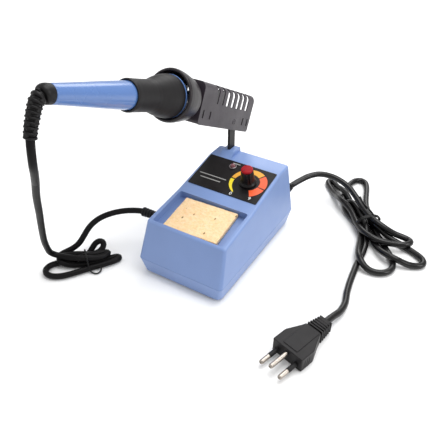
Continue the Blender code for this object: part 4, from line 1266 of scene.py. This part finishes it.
def pivot_parts():
    place = pivot_frame()
    screw = (
        (0, -9.2), (1.2, -9.2), (1.45, -8.8), (1.45, -1.1), (2.4, -0.9), (2.4, -0.1), (0, -0.1),
    )
    turned = Carver("pivot_pin", lathe(screw, place, 40, 0.15))
    turned.cut(block((-3, -0.3, -0.5), (3, 0.3, 1.0), place))
    dress(turned.done(0.0), "black_sheet", "holder", ["pivot_screw"])
    nut = ((0, -7.4), (3.2, -7.4), (3.4, -7.1), (3.4, -5.1), (3.2, -4.8), (0, -4.8))
    hexagon = Carver("lock_nut", lathe(nut, place, 6, 0.0))
    hexagon.cut(bore(1.8, -9, -2, place, 24))
    dress(hexagon.done(0.12), "bright_steel", "holder", ["pivot_nut"])
    washer = ((1.8, -4.5), (4.0, -4.5), (4.0, -3.9), (1.8, -3.9))
    piece("thin_washer", lathe(washer, place, 48, 0.08), "bright_steel", "holder", ["pivot_washer"])


# --- iron ------------------------------------------------------------------------------
def iron_frame():
    """At the middle of the iron's flange, Z along the iron towards its cord."""
    return frame_at((IRON_X, *IRON_FLANGE), (0, -math.cos(IRON_PITCH), math.sin(IRON_PITCH)))


def iron_lathe(name, node, shape, slot, rounding=0.3, look=None):
    return piece(name, lathe(shape, iron_frame(), 96, rounding), slot, "iron", [node], look)


def iron():
    iron_lathe(
        "handle_tube", "iron_handle",
        (
            (6.6, -1.6), (17.3, -1.6), (17.6, -1.2), (17.6, -0.2), (17.3, 0.0), (9.7, 0.0),
            (9.7, 53.0), (10.5, 53.0), (10.5, 55.0), (10.1, 63.0), (9.6, 72.0), (9.05, 82.0),
            (8.4, 92.0), (7.8, 102.0), (7.2, 112.0), (6.6, 124.0), (6.3, 126.0), (3.4, 126.0),
            (3.4, 56.0), (6.6, 52.0),
        ),
        "blue_handle", 0.6,
    )
    iron_lathe(
        "soft_grip", "iron_grip",
        (
            (10.0, 0.3), (17.2, 0.3), (17.6, 1.4), (17.5, 5.0), (17.1, 8.5), (16.3, 13.0),
            (15.1, 17.5), (13.8, 21.5), (12.8, 25.0), (12.35, 29.0), (12.2, 36.0), (12.2, 48.0),
            (12.35, 51.0), (12.3, 52.8), (11.8, 54.0), (11.3, 54.2), (10.9, 53.8), (10.9, 52.7),
            (10.0, 52.7),
        ),
        "black_grip", 0.7,
    )
    # The collar takes the dark steel: painted shade inside the mouth ring.
    iron_lathe(
        "steel_collar", "iron_collar",
        ((5.4, -6.0), (8.4, -6.0), (8.8, -5.2), (8.8, -1.9), (5.4, -1.9)), "bright_steel",
        look="painted_shade_steel",
    )
    # The barrel takes the dark steel: painted shade inside the mouth ring.
    iron_lathe(
        "barrel_tube", "heater_barrel",
        ((4.2, -46.0), (5.1, -46.0), (5.1, 24.0), (4.2, 24.0)), "bright_steel", 0.15,
        look="painted_shade_steel",
    )
    iron_lathe(
        "tip_nut", "barrel_nut",
        (
            (3.1, -52.0), (4.6, -52.0), (6.2, -49.5), (6.2, -47.6), (5.8, -47.3), (5.8, -46.8),
            (6.2, -46.5), (6.2, -44.0), (5.4, -44.0), (5.4, -46.3), (3.1, -46.3),
        ),
        "bright_steel", 0.15,
    )
    iron_lathe(
        "soldering_tip", "iron_tip",
        (
            (0, -76.0), (0.3, -75.9), (0.6, -75.4), (1.4, -70.0), (2.2, -64.0), (2.6, -61.2),
            (2.8, -60.0), (2.8, -44.0), (0, -44.0),
        ),
        "iron_bit", 0.4,
    )


BOOT_ROUTE = (
    (-70.5, 201.7), (-74.2, 203.0), (-78.0, 203.0), (-81.2, 200.8), (-84.3, 196.4), (-87.1, 191.2),
    (-89.6, 186.0), (-91.4, 180.8),
)
BOOT_RIBS = 9
BOOT_CAP = 0.19
HANDLE_END = 126.4


def boot_line(spacing):
    """The bending line of the sleeve behind the handle, starting on the handle's end."""
    route = smooth_route([(IRON_X, y, z) for y, z in BOOT_ROUTE], spacing)
    outward = iron_frame().to_3x3() @ Vector((0, 0, 1))
    start = Vector((IRON_X, *IRON_FLANGE)) + HANDLE_END * outward
    shift = start - route[0]
    last = len(route) - 1
    return [p + shift * (1 - i / last) for i, p in enumerate(route)]


def boot_radius(t):
    """A short round cap, then round ribs on a tapering sleeve."""
    if t < BOOT_CAP:
        s = max(0.0, (t / BOOT_CAP - 0.55) / 0.45)
        return 4.4 + 2.1 * math.sqrt(max(0.0, 1 - s * s))
    step = (t - BOOT_CAP) / (1 - BOOT_CAP) * BOOT_RIBS
    phase = step % 1.0
    taper = 5.2 - 0.9 * (t - BOOT_CAP) / (1 - BOOT_CAP)
    groove = 1.8
    if phase < 0.4:
        return taper - groove
    lift = math.sin(math.pi * (phase - 0.4) / 0.6) ** 0.25
    return taper - groove * (1 - lift)


def iron_boot():
    line = boot_line(0.2)
    last = len(line) - 1
    radii = [boot_radius(i / last) for i in range(len(line))]
    bm = sweep(line, radii, 40)
    webs(bm, line)
    piece("boot_sleeve", bm, "black_boot", "iron", ["iron_boot"], sharp=50.0)


def webs(bm, line):
    """Short bridges between the ribs, on alternate sides, as a bending sleeve has."""
    last = len(line) - 1
    for i in range(BOOT_RIBS):
        t = BOOT_CAP + (1 - BOOT_CAP) * (i + 0.17) / BOOT_RIBS
        k = round(t * last)
        ahead = (line[min(k + 2, last)] - line[k - 2]).normalized()
        side = Vector((1, 0, 0)) if i % 2 else ahead.cross(Vector((1, 0, 0)))
        place = frame_at(line[k], ahead, side)
        reach = 4.9 - 0.9 * (t - BOOT_CAP) / (1 - BOOT_CAP)
        for sign in (-1, 1):
            low, high = sorted((sign * 2.4, sign * reach))
            add_box(bm, (low, -1.5, -0.9), (high, 1.5, 0.9), place)


def strain_relief(name, node, place, sizes, inner):
    """A ribbed sleeve with a groove that the wall sits in."""
    length, root, tip, ribs = sizes
    shape = [
        (inner, -6.0), (root + 0.9, -6.0), (root + 0.9, -3.4), (root - 0.2, -3.2),
        (root - 0.2, 0.8), (root + 0.9, 1.0), (root + 0.9, 3.0),
    ]
    step = (length - 3.6) / ribs
    for i in range(ribs):
        at = 3.6 + step * i
        outer = root + (tip - root) * i / ribs
        shape += [(outer - 0.9, at), (outer - 0.9, at + step * 0.35)]
        shape += [(outer, at + step * 0.45), (outer, at + step)]
    shape += [(inner, length)]
    piece(name, lathe(tuple(shape), place, 48, 0.25), "black_boot", "station", [node])


# --- cords -----------------------------------------------------------------------------
def softened(values):
    """One round of evening out along a line, its ends left where they are."""
    out = values.copy()
    out[1:-1] = (values[:-2] + 2 * values[1:-1] + values[2:]) / 4
    return out


SETTLE_RAMP = 12


def settle_cord(points, diameter, held, rounds=120):
    """Lets a cord's own turns push each other apart and rest on the bench or on each other."""
    drawn = np.array([tuple(p) for p in points])
    order = np.arange(len(drawn))
    before = np.clip((order - held[0]) / SETTLE_RAMP, 0, 1)
    after = np.clip((len(drawn) - 1 - held[1] - order) / SETTLE_RAMP, 0, 1)
    free = (before * after)[:, None]
    spacing = line_length(points) / (len(points) - 1)
    strangers = np.abs(order[:, None] - order[None, :]) > 2.6 * diameter / spacing
    apart = diameter * 1.01
    bench = diameter / 2 + 0.02
    shift = np.zeros_like(drawn)
    for _ in range(rounds):
        line = drawn + shift
        gap = line[:, None, :] - line[None, :, :]
        distance = np.linalg.norm(gap, axis=2) + 1e-6
        close = strangers & (distance < apart)
        push = np.where(close, (apart - distance) / distance * 0.5, 0.0)
        count = np.maximum(1, close.sum(axis=1))[:, None]
        shift = shift + (gap * push[..., None]).sum(axis=1) / count * free
        shift[:, 2:] -= 0.02 * free
        shift = (shift + softened(shift)) / 2 * np.minimum(1.0, free * 4)
        sunk = np.maximum(0.0, bench - drawn[:, 2] - shift[:, 2])
        shift[:, 2] += sunk * (free[:, 0] > 0)
    line = drawn + shift
    for _ in range(8):
        line = line + (softened(line) - line) * free
    line[:, 2] = np.where(free[:, 0] > 0, np.maximum(line[:, 2], bench), line[:, 2])
    return [Vector(p) for p in line]


def joined(*routes):
    return [Vector(p) / MM for route in routes for p in route]


def cord_curve(name, points, diameter, slot, body, look=None):
    """A free cord as one open spline with a round section."""
    curve = bpy.data.curves.new(name, "CURVE")
    curve.dimensions = "3D"
    curve.bevel_depth = diameter / 2 * MM
    curve.bevel_resolution = 6
    curve.use_fill_caps = True
    spline = curve.splines.new("POLY")
    spline.points.add(len(points) - 1)
    for knot, point in zip(spline.points, points):
        knot.co = (*row(*point), 1.0)
    spline.use_smooth = True
    made = linked(name, curve)
    curve.materials.append(LOOKS[look or slot])
    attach(made, body)
    return made


def tie_ring(name, place, size, turns, tails, wire=0.8):
    """A wire tie round a hank: an oval wound a few times and loose ends, round a frame's X."""
    half, height = size
    bm = bmesh.new()
    wound = []
    steps = 48
    for i in range(steps * turns + 1):
        a = 2 * math.pi * i / steps - math.pi / 2
        swell = abs(math.cos(a)) ** 0.75 * math.copysign(1, math.cos(a))
        rise = abs(math.sin(a)) ** 0.75 * math.copysign(1, math.sin(a))
        across = (i / steps - turns / 2) * 1.9 * wire
        wound.append(place @ Vector((across, swell * half, height / 2 + rise * height / 2)))
    lines = [wound] + [smooth_route([place @ Vector(p) for p in tail], 0.8) for tail in tails]
    for line in lines:
        part = sweep([Vector((p.x, p.y, max(p.z, wire + 0.1))) for p in line], wire, 10)
        mesh = bpy.data.meshes.new("wire")
        part.to_mesh(mesh)
        part.free()
        bm.from_mesh(mesh)
        bpy.data.meshes.remove(mesh)
    return piece(name, bm, "cord_jacket", "station", look="tie_paper", sharp=60.0)


def tie_frame(x, y, heading):
    """On the bench under a tie, X along the hank."""
    ahead = Vector((*heading, 0.0)).normalized()
    return axes(ahead, Vector((-ahead.y, ahead.x, 0)), Vector((0, 0, 1)), (x, y, 0.0))


def mains_cord():
    line = smooth_route(joined(MAINS_LEAD_ROUTE, *MAINS_HANK_LOOPS, MAINS_TAIL_ROUTE), 2.6)
    line = settle_cord(line, MAINS_DIAMETER, (34, 30))
    cord = cord_curve("mains_cord", line, MAINS_DIAMETER, "cord_jacket", "station")
    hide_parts("mains_cord_lead", "mains_cord_hank", "mains_cord_tail")
    tails = [((0, 5, 17.0), (-5, 4, 18.5), (-14, 3, 19.0), (-22, 2, 20.0), (-28, 2, 22.0))]
    tie = tie_ring("mains_tie", tie_frame(117.0, 171.5, (0.70, -0.71)), (12.5, 17.0), 2, tails, 1.0)
    return cord, line, tie


def iron_cord():
    drop = IRON_DROP_LOWER[:-3:-1]
    line = smooth_route(joined(IRON_LEAD_ROUTE, *IRON_HANK_LOOPS, drop), 2.4)
    line = settle_cord(line, IRON_CORD_DIAMETER, (30, 4))
    cord = cord_curve(
        "iron_cord", line, IRON_CORD_DIAMETER, "cord_jacket", "station", "iron_jacket"
    )
    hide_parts("iron_cord_lead", "iron_cord_hank")
    tails = [((0, -10, 5.0), (2, -13.5, 1.5), (7, -16, 0.9), (11, -13, 2.0), (10, -9, 3.6))]
    tie = tie_ring("iron_tie", tie_frame(-91.0, -19.0, (0.65, 0.76)), (10.0, 14.0), 1, tails, 0.7)
    return cord, line, tie


def drop_tube(name, route, node):
    """A hanging stretch of the iron's cord, a round tube swept along its route."""
    line = smooth_route(joined(route), 1.6)
    made = shade(object_of(name, sweep(line, IRON_CORD_DIAMETER / 2, 24)), 60.0)
    settle_modifiers(made)
    made.data.materials.clear()
    made.data.materials.append(LOOKS["iron_jacket"])
    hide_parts(node)
    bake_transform(made)
    return made


# --- plug ------------------------------------------------------------------------------
PINS = (("left", -9.5, 5.2, True), ("right", 9.5, 5.2, True), ("earth", 0.0, 9.2, False))


def plug_frame():
    """On the bench at the middle of the face the pins come out of, Y towards the cord."""
    y = Vector((*PLUG_DIRECTION, 0.0)).normalized()
    return axes(Vector((y.y, -y.x, 0.0)), y, Vector((0, 0, 1)), (*PLUG_ROOT, 0.0))


def plug_body():
    ring = (
        (-14.9, 0.6), (-14.3, 0.0), (14.3, 0.0), (14.9, 0.6), (14.9, 14.5), (8.6, 28.0),
        (7.6, 31.5), (-7.6, 31.5), (-8.6, 28.0), (-14.9, 14.5),
    )
    bm = prism(fillet(ring, 1.0, 3), 0.2, 13.8)
    rim_bevel(bm, 1.2, 3, lambda e: abs(along(e).z) < 0.5)
    place = plug_frame()
    body = Carver("plug_shell", placed(bm, place))
    body.join(soft_box((-5.2, 30.0, 1.8), (5.2, 48.0, 12.2), place, 1.2))
    body.join(soft_box((-7.2, 3.0, 12.5), (7.2, 30.0, 14.4), place, 0.5))
    for i in range(6):
        y = 33.0 + 2.7 * i
        half = 7.6 - 0.3 * i
        low, high = 7.0 - half * 0.86, 7.0 + half * 0.86
        body.join(soft_box((-half, y, low), (half, y + 1.5, high), place, 0.45, 2))
    for _, x, z, _ in PINS:
        body.cut(bore(2.6, -0.4, 0.6, pin_frame(x, z), 32))
    grip = bmesh.new()
    for x in (-15.2, 15.2):
        for i in range(3):
            add_box(
                grip, (x - 0.5, 3.2 + 2.6 * i, 3.0), (x + 0.5, 4.4 + 2.6 * i, 11.0), place
            )
    body.cut(grip)
    return dress(body.done(0.0), "plug_black", "station", ["plug_body"])


def pin_frame(x, z):
    return plug_frame() @ frame_at((x, 0.0, z), (0, -1, 0))


def plug_pins():
    made = []
    for name, x, z, sleeved in PINS:
        place = pin_frame(x, z)
        shape = ((0, 0.7), (2.0, 0.7))
        if sleeved:
            shape = ((0, 0.7), (1.55, 0.7), (1.55, 9.8), (2.0, 9.9))
        shape += ((2.0, 17.8), (1.7, 18.8), (1.25, 19.2), (1.0, 19.2), (0.9, 18.2), (0, 18.2))
        pin = lathe(shape, place, 40, 0.2)
        made.append(piece(f"pin_{name}", pin, "plug_pins", "station", [f"plug_pin_{name}"]))
        if sleeved:
            cover = ((1.8, 0.7), (2.05, 0.7), (2.05, 9.5), (1.8, 9.5))
            made.append(piece(
                f"insulator_{name}", lathe(cover, place, 40, 0.08), "plug_black", "station",
                [f"pin_sleeve_{name}"],
            ))
    return made


# --- carried-over parts ----------------------------------------------------------------
def dress_frame_nodes():
    slots = {s["node"]: s["material_slot"] for s in frame["record"]["subparts"]}
    for name, node in frame["nodes"].items():
        node.data.materials.clear()
        node.data.materials.append(LOOKS[slots[name]])


# --- floor and light -------------------------------------------------------------------
WORLD_STRENGTH = 0.66
BENCH_DROP = 0.0002
# Name, place and target in metres, size, power.
LIGHTS = (
    ("softbox_top", (0.15, 0.25, 1.1), (0.0, 0.0, 0.0), 0.8, 8.0),
    ("softbox_right", (0.95, 0.05, 0.6), (0.0, 0.0, 0.05), 0.5, 3.2),
    ("softbox_left", (-0.8, -0.5, 0.7), (0.0, 0.0, 0.05), 0.6, 1.0),
    ("softbox_back", (-0.5, 1.7, 1.3), (-0.4, 1.0, 0.0), 1.2, 12.0),
)


def area_light(name, place, target, size, power):
    data = bpy.data.lights.new(name, "AREA")
    data.shape = "DISK"
    data.size = size
    data.energy = power
    made = linked(name, data)
    made.location = place
    made.rotation_euler = (Vector(target) - Vector(place)).to_track_quat("-Z", "Y").to_euler()


def stage():
    bm = bmesh.new()
    bmesh.ops.create_grid(bm, x_segments=4, y_segments=4, size=3.0)
    mesh = bpy.data.meshes.new("bench_top")
    bm.to_mesh(mesh)
    bm.free()
    bench = linked("bench_top", mesh)
    bench.location.z = -BENCH_DROP
    mesh.materials.append(LOOKS["bench"])
    world = bpy.data.worlds.new("World")
    world.use_nodes = True
    sky = world.node_tree.nodes["Background"]
    sky.inputs["Color"].default_value = (1.0, 1.0, 1.0, 1.0)
    sky.inputs["Strength"].default_value = WORLD_STRENGTH
    bpy.context.scene.world = world
    for light in LIGHTS:
        area_light(*light)
    bpy.context.scene.view_settings.view_transform = "Standard"


def build():
    make_camera()
    mains, mains_line, mains_tie = mains_cord()
    iron_lead, iron_line, iron_tie = iron_cord()
    plug = [plug_body()] + plug_pins()
    drop_tube("cord_drop_lower", IRON_DROP_LOWER, "iron_cord_drop_lower")
    drop_tube("cord_drop_upper", IRON_DROP_UPPER, "iron_cord_drop_upper")
    upper_shell()
    lower_shell()
    housing_fasteners()
    label()
    dial()
    lamp()
    knob()
    sponge()
    holder_post()
    holder_channel()
    holder_ring()
    pivot_parts()
    iron()
    iron_boot()
    strain_relief("mains_boot", "mains_strain_relief", mains_frame(), (20.6, 4.2, 3.9, 5), 3.2)
    strain_relief(
        "iron_cord_boot", "iron_cord_strain_relief", gland_frame(), (21.0, 3.9, 4.6, 6), 2.9
    )
    stage()


LOOKS = all_looks()
dress_frame_nodes()
build()
